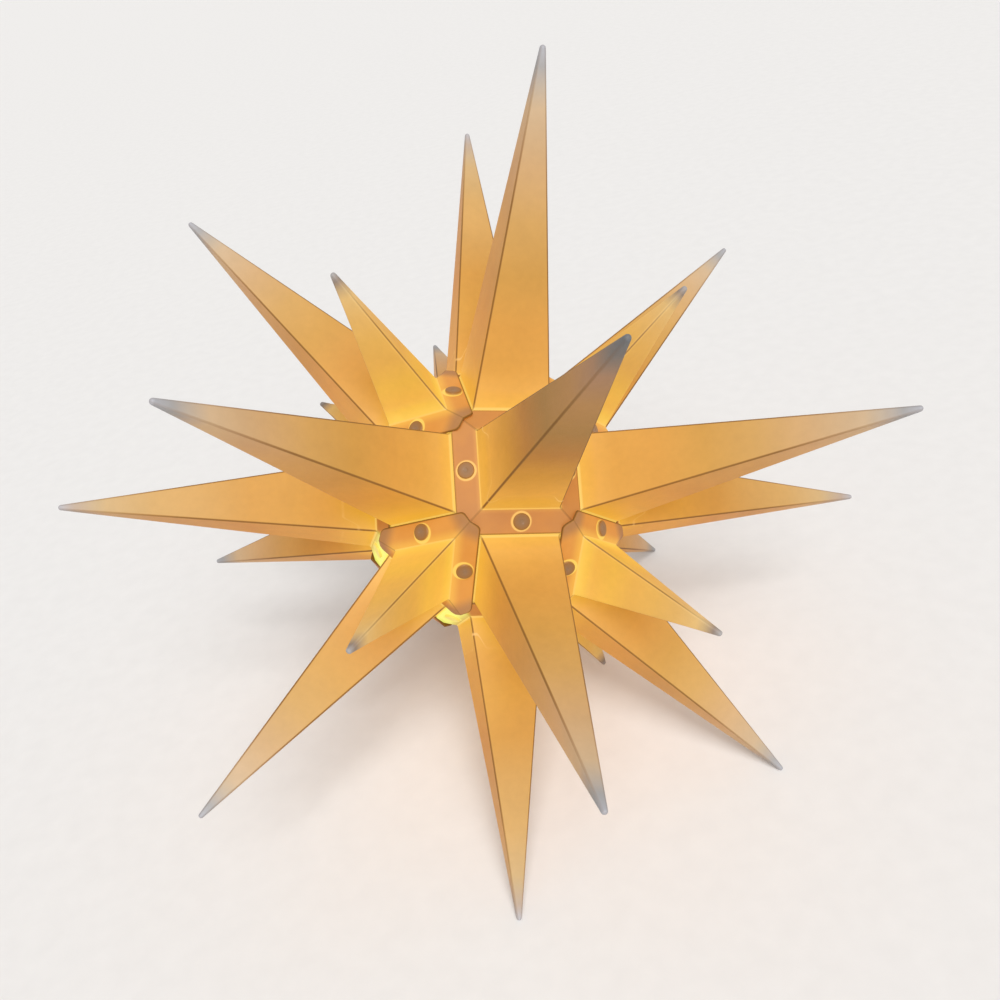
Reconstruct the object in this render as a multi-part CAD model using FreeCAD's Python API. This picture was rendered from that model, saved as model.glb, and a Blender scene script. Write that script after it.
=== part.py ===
"""A lit moravian star: 25 hollow plastic points riveted together by their collars.

The star follows the faces, edges and corners of a cube. Six square points stand on the cube's
faces, eleven on its edges and eight triangular points on its corners. The twelfth edge place
holds the lamp plate instead of a point. Lengths are in millimetres. In the star's own axes the
centre is the origin; the finished star stands on four of its tips, with +Z up.
"""
import FreeCAD, Part
import math
import os

from FreeCAD import Matrix, Placement, Rotation, Vector

os.makedirs("parts", exist_ok=True)

# ---- driving dimensions ------------------------------------------------------------------
square_reach = 266.7            # centre to the tip of a square point: 21 inches tip to tip
triangle_reach = 181.0          # centre to the tip of a triangular point
square_base_edge = 47.4         # fold line of a square point
strip_square = 16.52            # fold line to fold line between two square points
strip_triangle = 15.28          # the same between a square and a triangular point
strip_droop_degrees = 4.67      # that strip leans this much from the square's fold plane
wall = 1.0                      # moulded wall and collar
layer_clearance = 0.1           # between an upper collar and the collar tucked below it
square_rim_clearance = 1.7      # from a collar's rim to the neighbour's fold, between squares
triangle_rim_clearance = 1.2    # the same between a square and a triangle
tip_radius = 1.6                # rounding of every tip
solid_tip = 11.0                # the last stretch of a point has no hollow
edge_radius = 1.4               # rounding along a point's long edges, at its foot
inner_edge_radius = 0.4         # the same inside the hollow
tip_dome_degrees = (30.0, 55.0, 78.0)   # rings that round a tip off
tip_roundness = 0.9             # corner radius of a ring as a share of its half width
core_depth = 30.0               # working depth below a fold, removed again by the hollow
fold_flare_height = 1.0         # the wall starts to flare this far above the collar
fold_flare_width = 0.4          # and has spread this far where it is level with the fold
face_corner_reach = 11.1        # fold corner to collar corner, seen along the point's axis
edge_corner_reach = 8.6
triangle_corner_reach = 12.7
tucked_corner_setback = 1.2     # a tucked collar's rims stop this far short of the fold's end
collar_corner_radius = 2.4      # rounding of a square collar's outer corners
triangle_corner_radius = 4.0    # the same on a triangular collar, which is blunter

rivet_from_fold = 7.5           # from the upper collar's fold line to the rivet's centre
rivet_hole_diameter = 4.6
rivet_shank_clearance = 0.2     # on the radius, in both collars
rivet_head_diameter = 10.0
rivet_head_height = 1.6
rivet_edge_break = 0.35
rivet_barb_diameter = 7.0       # spread end inside the star
rivet_barb_height = 1.8
rivet_barb_lead = 0.5           # its end is narrower than the shank by this, on the radius
rivet_play = 0.05               # under the head and over the barb

plate_thickness = 2.4           # lamp plate that fills the place of the missing point
plate_rise = 3.0                # its flat top stands this far past the fold
nipple_diameter = 10.0          # hollow threaded tube, thread left plain
nipple_bore = 7.4
nipple_outside_length = 9.0     # beyond the plate's outer face
nipple_inside_length = 16.0     # beyond the plate's inner face
thread_clearance = 0.1          # on the radius, around the nipple and the bulb's cap
nut_across_flats = 14.0
nut_height = 3.0
grip_diameter = 17.0            # cord grip screwed on the outside end of the nipple
grip_shoulder_height = 11.0
grip_nose_height = 7.0
grip_nose_diameter = 11.0
grip_chamfer = 1.5
grip_nose_taper = 1.0           # on the radius, over the nose's height
cord_bore = 6.6                 # a 6 mm round cord passes with clearance
holder_diameter = 27.0          # candle lamp holder, small screw cap size
holder_length = 46.0
holder_wall = 1.6
holder_floor = 3.0
holder_chamfer = 2.0
insert_length = 30.0
insert_floor = 4.0
screw_shell_bore = 14.2
screw_shell_wall = 0.6
screw_shell_length = 23.0
contact_width = 5.0
contact_thickness = 0.6
contact_rise = 3.2
contact_foot_length = 12.2
bulb_cap_taper = 3.0            # cone at the contact end of the bulb's cap
bulb_cap_length = 21.0
bulb_globe_diameter = 45.0
bulb_length = 76.0              # from the cap's contact to the top of the globe
bulb_neck_diameter = 24.0

# ---- what follows from them --------------------------------------------------------------
square_square_turn = math.radians(45.0)                 # between a face and an edge of the cube
square_triangle_turn = math.atan(1.0 / math.sqrt(2.0))  # between an edge and a corner
square_inradius = square_base_edge / 2.0
tuck = wall + layer_clearance                           # an inner collar lies this much deeper
work_size = 4.0 * square_reach                          # side of the blocks used for cutting

# Two square fold planes meet at 45 degrees, and the strip between them leans half of that.
tilt_square = square_square_turn / 2.0
square_base_height = ((strip_square / 2.0 + square_inradius * math.cos(tilt_square))
                      / math.sin(tilt_square))

# From the square's fold, the other strip leads to the triangle's fold. Both are taken in the
# triangle's axes: distance from its axis, and height above the star's centre.
tilt_square_to_triangle = math.radians(strip_droop_degrees)
tilt_triangle = square_triangle_turn - tilt_square_to_triangle
turn_sine, turn_cosine = math.sin(square_triangle_turn), math.cos(square_triangle_turn)
square_fold_distance = square_base_height * turn_sine - square_inradius * turn_cosine
square_fold_height = square_base_height * turn_cosine + square_inradius * turn_sine
triangle_inradius = square_fold_distance - strip_triangle * math.cos(tilt_triangle)
triangle_base_height = square_fold_height + strip_triangle * math.sin(tilt_triangle)

width_square = strip_square - square_rim_clearance
width_triangle = strip_triangle - triangle_rim_clearance

# Each side of a collar is (tilt from the fold's plane, width, fold line to rivet hole).
face_sides = [(tilt_square, width_square, rivet_from_fold)] * 4
edge_sides = [(tilt_square, width_square, strip_square - rivet_from_fold),
              (tilt_square_to_triangle, width_triangle, strip_triangle - rivet_from_fold)] * 2
corner_sides = [(tilt_triangle, width_triangle, rivet_from_fold)] * 3


# ---- small solids ------------------------------------------------------------------------
def side_direction(sides, index):
    """Unit vector square to one side of a regular base, in the base's plane."""
    angle = 2.0 * math.pi * index / sides
    return Vector(math.cos(angle), math.sin(angle), 0)


def rounded_wire(corners, radius, height):
    """Closed outline through the corners, each rounded by the radius."""
    count = len(corners)
    starts, middles, ends = [], [], []
    for index, corner in enumerate(corners):
        back = (corners[index - 1] - corner).normalize()
        ahead = (corners[(index + 1) % count] - corner).normalize()
        half_angle = back.getAngle(ahead) / 2.0
        reach = radius / math.tan(half_angle)
        inward = (back + ahead).normalize()
        centre = corner + inward * (radius / math.sin(half_angle))
        starts.append(corner + back * reach)
        middles.append(centre - inward * radius)
        ends.append(corner + ahead * reach)
    lift = Vector(0, 0, height)
    edges = []
    for index in range(count):
        following = (index + 1) % count
        edges.append(Part.Arc(starts[index] + lift, middles[index] + lift, ends[index] + lift).toShape())
        edges.append(Part.LineSegment(ends[index] + lift, starts[following] + lift).toShape())
    return Part.Wire(edges)


def base_section(sides, inradius, radius, height):
    """Regular base outline with rounded corners at one height."""
    reach = inradius / math.cos(math.pi / sides)
    corners = [side_direction(sides, index + 0.5) * reach for index in range(sides)]
    return rounded_wire(corners, radius, height)


def half_space(point, normal):
    """Block that fills the side of a plane its normal points to."""
    block = Part.makeBox(work_size, work_size, work_size, Vector(-work_size / 2, -work_size / 2, 0))
    block.Placement = Placement(point, Rotation(Vector(0, 0, 1), normal))
    return block


def turned(profile):
    """Solid of revolution about Z from (radius, height) corners."""
    corners = [Vector(radius, 0, height) for radius, height in profile]
    face = Part.Face(Part.makePolygon(corners + corners[:1]))
    return face.revolve(Vector(0, 0, 0), Vector(0, 0, 1), 360)


def only_solid(shape):
    """The one solid that a shape holds, with flat neighbours merged."""
    solids = shape.removeSplitter().Solids
    if len(solids) != 1:
        raise ValueError("expected one solid, found %d" % len(solids))
    return solids[0]


# ---- collars -----------------------------------------------------------------------------
def strip_normal(direction, tilt):
    return direction * math.sin(tilt) + Vector(0, 0, math.cos(tilt))


def strip_point(direction, inradius, height, tilt, distance):
    """Point on a strip's upper plane, the given distance out from the fold line."""
    fold = direction * inradius + Vector(0, 0, height)
    return fold + direction * (distance * math.cos(tilt)) - Vector(0, 0, distance * math.sin(tilt))


def under_strips(outline, inradius, height, sides, depth):
    """The part of an outline's prism that lies below all strip planes, lowered by a depth."""
    solid = outline
    for index, (tilt, _, _) in enumerate(sides):
        direction = side_direction(len(sides), index)
        normal = strip_normal(direction, tilt)
        fold = strip_point(direction, inradius, height, tilt, 0)
        solid = solid.cut(half_space(fold - normal * depth, normal))
    return solid


def collar_outline(inradius, sides, corner_reach, setback, low, high):
    """Upright prism with the collar's outline: straight rims with cut, rounded corners."""
    half_fold = inradius * math.tan(math.pi / len(sides))
    rims = [inradius + width * math.cos(tilt) for tilt, width, _ in sides]
    radius = triangle_corner_radius if len(sides) == 3 else collar_corner_radius
    points = []
    for index, rim in enumerate(rims):
        here = side_direction(len(sides), index)
        ahead = side_direction(len(sides), index + 1)
        along = Vector(-here.y, here.x, 0)
        along_ahead = Vector(-ahead.y, ahead.x, 0)
        rim_ahead = rims[(index + 1) % len(sides)]
        rim_end = here * rim + along * (half_fold - setback)
        rim_start = ahead * rim_ahead - along_ahead * (half_fold - setback)
        outward = Vector(here.x + ahead.x, here.y + ahead.y, 0).normalize()
        corner = outward * (inradius / math.cos(math.pi / len(sides)) + corner_reach)
        points += [rim_end, corner, rim_start]
    face = Part.Face(rounded_wire(points, radius, low))
    return face.extrude(Vector(0, 0, high - low))


def rivet_holes(solid, inradius, height, sides):
    """Bores the hole of each strip, square to the strip."""
    for index, (tilt, _, distance) in enumerate(sides):
        direction = side_direction(len(sides), index)
        normal = strip_normal(direction, tilt)
        centre = strip_point(direction, inradius, height, tilt, distance)
        start = centre - normal * (3 * tuck)
        solid = solid.cut(Part.makeCylinder(rivet_hole_diameter / 2, 6 * tuck, start, normal))
    return solid


def collar_shell(inradius, height, sides, corner_reach, tucked):
    """A collar filled up to its strips, and the same lowered by the wall, as two solids."""
    depth = tuck if tucked else 0.0
    setback = tucked_corner_setback if tucked else 0.0
    prism = collar_outline(inradius, sides, corner_reach, setback, height - core_depth, height + tuck)
    return (under_strips(prism, inradius, height, sides, depth),
            under_strips(prism, inradius, height, sides, depth + wall))


# ---- the moulded points ------------------------------------------------------------------
def star_point(inradius, height, reach, sides, corner_reach, tucked):
    """One hollow point with its collar, its axis along +Z and the star's centre at 0."""
    count = len(sides)
    foot = height - tuck if tucked else height
    slope = math.atan(inradius / (reach - height))
    for _ in range(20):
        apex = reach + tip_radius * (1.0 / math.sin(slope) - 1.0)
        slope = math.atan(inradius / (apex - height))

    def wall_inradius(level):
        return (apex - level) * math.tan(slope)

    flare_foot, flare_top = foot - fold_flare_height, foot + fold_flare_height
    sections = [
        base_section(count, wall_inradius(flare_foot) + 2 * fold_flare_width, edge_radius, flare_foot),
        base_section(count, wall_inradius(flare_top), edge_radius, flare_top)]
    dome_centre = apex - tip_radius / math.sin(slope)
    for turn in [slope] + [math.radians(degrees) for degrees in tip_dome_degrees]:
        span = tip_radius * math.cos(turn)
        level = dome_centre + tip_radius * math.sin(turn)
        sections.append(base_section(count, span, tip_roundness * span, level))
    outside = Part.makeLoft(sections, True, True)

    inset = wall / math.cos(slope)
    sections = []
    for level in (height - core_depth, reach - solid_tip):
        sections.append(base_section(count, wall_inradius(level) - inset, inner_edge_radius, level))
    hollow = Part.makeLoft(sections, True, True)

    collar, below = collar_shell(inradius, height, sides, corner_reach, tucked)
    body = outside.fuse(collar).cut(below).cut(hollow)
    return only_solid(rivet_holes(body, inradius, height, sides))


def face_point():
    return star_point(square_inradius, square_base_height, square_reach, face_sides,
                      face_corner_reach, tucked=False)


def edge_point():
    return star_point(square_inradius, square_base_height, square_reach, edge_sides,
                      edge_corner_reach, tucked=True)


def corner_point():
    return star_point(triangle_inradius, triangle_base_height, triangle_reach, corner_sides,
                      triangle_corner_reach, tucked=False)


# ---- the lamp plate and what it carries --------------------------------------------------
plate_outer = square_base_height - tuck + plate_rise    # height of its flat outer face
plate_inner = plate_outer - plate_thickness


def lamp_plate():
    """Shallow square cap in the missing point's place, with a tucked collar of its own."""
    low = square_base_height - core_depth
    collar, below = collar_shell(square_inradius, square_base_height, edge_sides,
                                 edge_corner_reach, tucked=True)
    cap_inradius = square_inradius - fold_flare_width
    cap = Part.Face(base_section(4, cap_inradius, edge_radius, low))
    cap = cap.extrude(Vector(0, 0, plate_outer - low))
    room = Part.Face(base_section(4, cap_inradius - plate_thickness, edge_radius, low))
    room = room.extrude(Vector(0, 0, plate_inner - low))
    body = cap.fuse(collar).cut(below).cut(room)
    body = rivet_holes(body, square_inradius, square_base_height, edge_sides)
    bore = Part.makeCylinder(nipple_diameter / 2 + thread_clearance, 4 * plate_thickness,
                             Vector(0, 0, plate_outer - 2 * plate_thickness))
    return only_solid(body.cut(bore))


nipple_top = plate_outer + nipple_outside_length
nipple_foot = plate_inner - nipple_inside_length
holder_top = plate_inner - nut_height - thread_clearance         # end of the holder nearest the plate
holder_foot = holder_top - holder_length
insert_top = nipple_foot - thread_clearance
insert_radius = holder_diameter / 2 - holder_wall - thread_clearance
shell_radius = screw_shell_bore / 2 + screw_shell_wall
shell_top = insert_top - insert_floor - contact_thickness - thread_clearance
contact_top = insert_top - insert_floor
bulb_top = contact_top - contact_rise - thread_clearance


def nipple():
    outer, inner = nipple_diameter / 2, nipple_bore / 2
    return turned([(inner, nipple_foot), (outer, nipple_foot), (outer, nipple_top), (inner, nipple_top)])


def hexagon_nut(foot, height):
    corner_radius = nut_across_flats / math.sqrt(3.0)
    corners = [Vector(corner_radius * math.cos(math.radians(60 * k)),
                      corner_radius * math.sin(math.radians(60 * k)), foot) for k in range(6)]
    block = Part.Face(Part.makePolygon(corners + corners[:1])).extrude(Vector(0, 0, height))
    bore = Part.makeCylinder(nipple_diameter / 2 + thread_clearance, height + 2, Vector(0, 0, foot - 1))
    return block.cut(bore)


def cord_grip():
    """Turned cap over the nipple's outer end, narrowing to a nose with the cord's bore."""
    foot = plate_outer
    thread_top = nipple_top + thread_clearance
    shoulder = foot + grip_shoulder_height
    nose = shoulder + grip_nose_height
    socket = nipple_diameter / 2 + thread_clearance
    return turned([
        (socket, foot), (grip_diameter / 2, foot), (grip_diameter / 2, shoulder - grip_chamfer),
        (grip_diameter / 2 - grip_chamfer, shoulder), (grip_nose_diameter / 2, shoulder),
        (grip_nose_diameter / 2 - grip_nose_taper, nose), (cord_bore / 2, nose), (cord_bore / 2, thread_top),
        (socket, thread_top)])


def lamp_holder():
    """Outer shell of the lamp holder, screwed on the nipple and open towards the star's centre."""
    outer = holder_diameter / 2
    inner = outer - holder_wall
    neck = nipple_diameter / 2 + thread_clearance
    return turned([
        (neck, holder_top), (outer - holder_chamfer, holder_top), (outer, holder_top - holder_chamfer),
        (outer, holder_foot), (inner, holder_foot), (inner, holder_top - holder_floor),
        (neck, holder_top - holder_floor)])


def holder_insert():
    """Insulating core that carries the screw shell and the centre contact."""
    hole = shell_radius + thread_clearance
    foot = insert_top - insert_length
    return turned([
        (0, insert_top), (insert_radius, insert_top), (insert_radius, foot), (hole, foot),
        (hole, insert_top - insert_floor), (0, insert_top - insert_floor)])


def screw_shell():
    """Brass sleeve that takes the bulb's cap, thread left plain."""
    return turned([
        (screw_shell_bore / 2, shell_top), (shell_radius, shell_top),
        (shell_radius, shell_top - screw_shell_length),
        (screw_shell_bore / 2, shell_top - screw_shell_length)])


def centre_contact():
    """Brass bridge at the bottom of the insert: two feet joined by a raised leaf."""
    half, foot = contact_width / 2, contact_foot_length / 2
    leaf = contact_top - contact_rise
    thin = contact_thickness
    profile = [(-foot, contact_top), (-half, contact_top), (-half, leaf + thin), (half, leaf + thin),
               (half, contact_top), (foot, contact_top), (foot, contact_top - thin),
               (half + thin, contact_top - thin), (half + thin, leaf), (-half - thin, leaf),
               (-half - thin, contact_top - thin), (-foot, contact_top - thin)]
    corners = [Vector(x, -half, z) for x, z in profile]
    return Part.Face(Part.makePolygon(corners + corners[:1])).extrude(Vector(0, contact_width, 0))


def bulb():
    """Sealed globe lamp with its small screw cap, one closed solid."""
    cap = screw_shell_bore / 2 - thread_clearance
    neck_z = bulb_top - bulb_cap_length
    globe = bulb_globe_diameter / 2
    globe_z = bulb_top - bulb_length + globe
    neck = bulb_neck_diameter / 2
    join_z = globe_z + math.sqrt(globe ** 2 - neck ** 2)
    half_turn = math.radians(45.0)
    edges = [
        Part.LineSegment(Vector(0, 0, bulb_top), Vector(cap - bulb_cap_taper, 0, bulb_top)),
        Part.LineSegment(Vector(cap - bulb_cap_taper, 0, bulb_top),
                         Vector(cap, 0, bulb_top - bulb_cap_taper)),
        Part.LineSegment(Vector(cap, 0, bulb_top - bulb_cap_taper), Vector(cap, 0, neck_z)),
        Part.LineSegment(Vector(cap, 0, neck_z), Vector(neck, 0, join_z)),
        Part.Arc(Vector(neck, 0, join_z),
                 Vector(globe * math.cos(half_turn), 0, globe_z - globe * math.sin(half_turn)),
                 Vector(0, 0, globe_z - globe)),
        Part.LineSegment(Vector(0, 0, globe_z - globe), Vector(0, 0, bulb_top)),
    ]
    face = Part.Face(Part.Wire([edge.toShape() for edge in edges]))
    return face.revolve(Vector(0, 0, 0), Vector(0, 0, 1), 360)


def rivet():
    """Push rivet: flat head above the upper collar, shank through both, spread barb below."""
    shank = rivet_hole_diameter / 2 - rivet_shank_clearance
    head = rivet_head_diameter / 2
    barb = rivet_barb_diameter / 2
    head_foot = rivet_play
    head_top = head_foot + rivet_head_height
    barb_top = -(wall + layer_clearance + wall) - rivet_play
    barb_foot = barb_top - rivet_barb_height
    return turned([
        (0, head_top), (head - rivet_edge_break, head_top), (head, head_top - rivet_edge_break),
        (head, head_foot), (shank, head_foot), (shank, barb_top), (barb, barb_top),
        (shank - rivet_barb_lead, barb_foot), (0, barb_foot)])


# ---- places around the star --------------------------------------------------------------
def cube_directions():
    """Directions to a cube's faces, edges and corners."""
    signs = (-1, 0, 1)
    every = [Vector(x, y, z) for x in signs for y in signs for z in signs]
    by_kind = {1: [], 2: [], 3: []}
    for direction in every:
        nonzero = sum(1 for value in direction if value)
        if nonzero:
            by_kind[nonzero].append(direction)
    return by_kind[1], by_kind[2], by_kind[3]


def frame_towards(axis, side):
    """Placement with +Z along an axis and +X towards a side direction."""
    up = Vector(axis).normalize()
    across = (side - up * side.dot(up)).normalize()
    third = up.cross(across)
    return Placement(Matrix(
        across.x, third.x, up.x, 0,
        across.y, third.y, up.y, 0,
        across.z, third.z, up.z, 0,
        0, 0, 0, 1))


def touching(direction, others):
    """The neighbours of a direction that share one of its collar strips."""
    nearest = max(direction.dot(other) / (direction.Length * other.Length) for other in others)
    return [other for other in others
            if abs(direction.dot(other) / (direction.Length * other.Length) - nearest) < 1e-6]


cube_faces, cube_edges, cube_corners = cube_directions()
lamp_place = Vector(0, -1, -1)
edge_places = [direction for direction in cube_edges if direction != lamp_place]

# The star stands on the tips at the cube's -Y and -Z faces and at its +X-Y and +X-Z edges,
# which lie in one plane. This is that plane's direction, seen from the centre.
down = Vector(math.sqrt(2.0) - 1.0, -1.0, -1.0).normalize()
row_y = Vector(0, 1, -1).normalize()
row_z = down * -1.0
row_x = row_y.cross(row_z)


def tip_reach(towards):
    """How far the rounded tips reach from the centre along one direction."""
    ends = []
    for place in cube_faces + edge_places:
        ends.append(Vector(place).normalize().dot(towards) * (square_reach - tip_radius) + tip_radius)
    return max(ends)


def standing():
    """Placement from the star's own axes to the standing frame, origin at the bottom centre."""
    middle_x = (tip_reach(row_x) - tip_reach(row_x * -1.0)) / 2
    middle_y = (tip_reach(row_y) - tip_reach(row_y * -1.0)) / 2
    lift = tip_reach(down)
    return Placement(Matrix(
        row_x.x, row_x.y, row_x.z, -middle_x,
        row_y.x, row_y.y, row_y.z, -middle_y,
        row_z.x, row_z.y, row_z.z, lift,
        0, 0, 0, 1))


stand = standing()


def placed(shape, placement):
    """Copy of a shape moved from its own frame to its place in the standing star."""
    moved = shape.copy()
    moved.Placement = stand.multiply(placement)
    return moved


def rivet_places():
    """Frames at every collar strip's hole, +Z square to the strip and outwards."""
    frames = []
    for kind, height, inradius, tilt in (
            (cube_faces, square_base_height, square_inradius, tilt_square),
            (cube_corners, triangle_base_height, triangle_inradius, tilt_triangle)):
        for axis in kind:
            for neighbour in touching(axis, cube_edges):
                point = frame_towards(axis, neighbour)
                centre = strip_point(Vector(1, 0, 0), inradius, height, tilt, rivet_from_fold)
                turn = Rotation(Vector(0, 1, 0), math.degrees(tilt))
                frames.append(point.multiply(Placement(centre, turn)))
    return frames


# ---- the finished pieces -----------------------------------------------------------------
def star_pieces():
    """Every physical piece by node name, in the standing frame."""
    pieces = {}
    on_face, on_edge, on_corner = face_point(), edge_point(), corner_point()
    for number, axis in enumerate(cube_faces, 1):
        side = touching(axis, cube_edges)[0]
        pieces["face_point_%d" % number] = placed(on_face, frame_towards(axis, side))
    for number, axis in enumerate(edge_places, 1):
        side = touching(axis, cube_faces)[0]
        pieces["edge_point_%d" % number] = placed(on_edge, frame_towards(axis, side))
    for number, axis in enumerate(cube_corners, 1):
        side = touching(axis, cube_edges)[0]
        pieces["corner_point_%d" % number] = placed(on_corner, frame_towards(axis, side))

    one_rivet = rivet()
    pieces["rivets"] = Part.makeCompound([placed(one_rivet, frame) for frame in rivet_places()])

    lamp_frame = frame_towards(lamp_place, touching(lamp_place, cube_faces)[0])
    lamp_pieces = {
        "lamp_plate": lamp_plate(),
        "nipple": nipple(),
        "lock_nut": hexagon_nut(plate_inner - nut_height, nut_height),
        "cord_grip": cord_grip(),
        "lamp_holder": lamp_holder(),
        "holder_insert": holder_insert(),
        "screw_shell": screw_shell(),
        "centre_contact": centre_contact(),
        "bulb": bulb(),
    }
    for name, shape in lamp_pieces.items():
        pieces[name] = placed(shape, lamp_frame)
    return pieces


def report(pieces):
    """Prints the sizes that the mounts and the record are written from."""
    whole = Part.makeCompound(list(pieces.values()))
    box = whole.optimalBoundingBox(False)
    print("box x %.2f..%.2f y %.2f..%.2f z %.2f..%.2f" % (
        box.XMin, box.XMax, box.YMin, box.YMax, box.ZMin, box.ZMax))
    print("strips %.2f %.2f tilts %.2f %.2f %.2f" % (
        strip_square, strip_triangle, math.degrees(tilt_square), math.degrees(tilt_triangle),
        math.degrees(tilt_square_to_triangle)))
    print("centre at %s" % stand.Base)
    lamp_frame = stand.multiply(frame_towards(lamp_place, touching(lamp_place, cube_faces)[0]))
    nose = plate_outer + grip_shoulder_height + grip_nose_height
    print("cord bore mouth %s axis %s length %.2f" % (
        lamp_frame.multVec(Vector(0, 0, nose)), lamp_frame.Rotation.multVec(Vector(0, 0, 1)),
        nose - nipple_top - thread_clearance))
    volume = sum(solid.Volume for shape in pieces.values() for solid in shape.Solids)
    print("pieces %d solids %d volume %.1f cm3" % (
        len(pieces), sum(len(shape.Solids) for shape in pieces.values()), volume / 1000.0))


finished = star_pieces()
for node, shape in finished.items():
    shape.exportStep("parts/%s.step" % node)
report(finished)
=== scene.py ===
"""Dresses the lit moravian star: glowing moulded points, push rivets and the lamp inside.

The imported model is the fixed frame. The square points, the lamp plate and the lamp holder keep
their meshes. The triangular points, the rivets and the lamp's turned parts are new pieces in the
same places. The plastic glows as the real one does: its look is worked out from where each place
lies on its point.
"""
import math
from functools import partial
from typing import NamedTuple

import bmesh
import bpy
import numpy as np
from bpy.props import FloatProperty, FloatVectorProperty, IntProperty, PointerProperty
from bpy.types import Operator, Panel, PropertyGroup
from mathutils import Matrix, Quaternion, Vector


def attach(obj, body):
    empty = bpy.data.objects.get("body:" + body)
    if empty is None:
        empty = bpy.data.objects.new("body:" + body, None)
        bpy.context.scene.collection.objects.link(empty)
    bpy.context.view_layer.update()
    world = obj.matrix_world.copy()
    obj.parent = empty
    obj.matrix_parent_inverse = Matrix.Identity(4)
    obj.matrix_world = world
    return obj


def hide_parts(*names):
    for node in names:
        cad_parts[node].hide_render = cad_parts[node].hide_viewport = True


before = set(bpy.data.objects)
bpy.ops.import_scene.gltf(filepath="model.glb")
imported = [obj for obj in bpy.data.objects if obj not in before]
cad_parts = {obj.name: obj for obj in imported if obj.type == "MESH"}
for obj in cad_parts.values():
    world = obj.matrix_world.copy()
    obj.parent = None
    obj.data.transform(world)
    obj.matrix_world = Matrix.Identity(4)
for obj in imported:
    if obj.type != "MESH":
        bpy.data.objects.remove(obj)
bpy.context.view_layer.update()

bl_info = {
    "name": "Moravian star",
    "version": (1, 0, 0),
    "blender": (4, 5, 0),
    "location": "View3D > Sidebar > Star",
    "description": "Dresses a riveted, lit moravian star of 25 moulded points",
    "category": "Object",
}

MILLIMETRE = 0.001
ROOT_2, ROOT_3, ROOT_6 = math.sqrt(2.0), math.sqrt(3.0), math.sqrt(6.0)


def linear(hex_colour):
    """Linear red, green and blue of an sRGB hex colour."""
    parts = [int(hex_colour[i:i + 2], 16) / 255.0 for i in (1, 3, 5)]
    return tuple(p / 12.92 if p <= 0.04045 else ((p + 0.055) / 1.055) ** 2.4 for p in parts)


def rgba(colour):
    """Opaque colour from an sRGB hex colour or from three linear numbers."""
    return (*(linear(colour) if isinstance(colour, str) else colour), 1.0)


# ---- what a user would change ------------------------------------------------------------
def length(name, description, default):
    """A length in metres that the sidebar shows in the scene's unit."""
    return FloatProperty(name=name, description=description, default=default, unit="LENGTH")


def lean(name, description, degrees):
    """An angle, given in degrees and kept in radians."""
    return FloatProperty(name=name, description=description, default=math.radians(degrees),
                         subtype="ANGLE")


def lit_colour(name, description, default):
    """A colour, given as sRGB hex."""
    return FloatVectorProperty(name=name, description=description, default=linear(default),
                               size=3, subtype="COLOR", min=0.0, max=1.0)


class StarSizes(PropertyGroup):
    """Sizes that the finish of the points and the new pieces follow."""
    square_fold_height: length(
        "Square fold height", "Star's centre to the plane of a square fold", 0.0788)
    square_fold_inradius: length(
        "Square fold inradius", "A square point's axis to its fold line", 0.0237)
    square_reach: length("Square reach", "Star's centre to the tip of a square point", 0.2667)
    triangle_fold_height: length(
        "Triangle fold height", "Star's centre to the plane of a triangular fold", 0.0858)
    triangle_fold_inradius: length(
        "Triangle fold inradius", "A triangular point's axis to its fold line", 0.0130)
    triangle_reach: length(
        "Triangle reach", "Star's centre to the tip of a triangular point", 0.181)
    square_strip_tilt: lean(
        "Square strip tilt", "Lean of a square point's collar strips", 22.5)
    triangle_strip_tilt: lean(
        "Triangle strip tilt", "Lean of a triangular point's collar strips", 30.6)
    square_collar_width: length(
        "Square collar width", "Fold line to rim on a square point's collar", 0.01482)
    triangle_collar_width: length(
        "Triangle collar width", "Fold line to rim on a triangular point's collar", 0.01408)
    rivet_from_fold: length(
        "Rivet from fold", "Fold line to a rivet's centre, along the strip", 0.0075)
    rivet_head_diameter: length("Rivet head", "Diameter of a push rivet's head", 0.010)


class LampSizes(PropertyGroup):
    """Sizes of the lamp's fittings, which stand on one axis through the star's centre."""
    plate_height: length("Plate height", "Star's centre to the lamp plate's outer face", 0.0807)
    nipple_diameter: length(
        "Nipple", "Outer diameter of the threaded tube through the plate", 0.010)
    nipple_pitch: length("Nipple pitch", "Thread pitch of the tube", 0.001)
    nut_across_flats: length("Nut across flats", "Width of the hexagon lock nut", 0.014)
    grip_diameter: length("Cord grip", "Diameter of the cord grip over its flutes", 0.017)
    grip_flutes: IntProperty(
        name="Grip flutes", description="Number of flutes round the cord grip", default=20, min=3)
    cap_diameter: length("Screw cap", "Diameter of the bulb's cap over its thread", 0.014)
    cap_pitch: length("Cap pitch", "Pitch of the cap's rolled thread", 0.00282)
    globe_diameter: length("Globe", "Diameter of the bulb's globe", 0.045)


class StarColours(PropertyGroup):
    """Colours of the lit plastic."""
    square_collar: lit_colour("Square collar", "Lit collar of a square point", "#C68547")
    triangle_collar: lit_colour(
        "Triangle collar", "Lit collar of a triangular point", "#DB9340")
    fold_band: lit_colour(
        "Fold band", "Thin plastic along a fold, where most light comes through", "#FFD072")
    # Painted shade: thick plastic where two walls meet lets less of the lamp's light through.
    edge_shade: lit_colour(
        "Edge line", "Thick plastic where two walls of a point meet", "#7E5420")


def in_mm(group, *names):
    """Sizes of a property group, in mm."""
    return [getattr(group, name) / MILLIMETRE for name in names]


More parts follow.
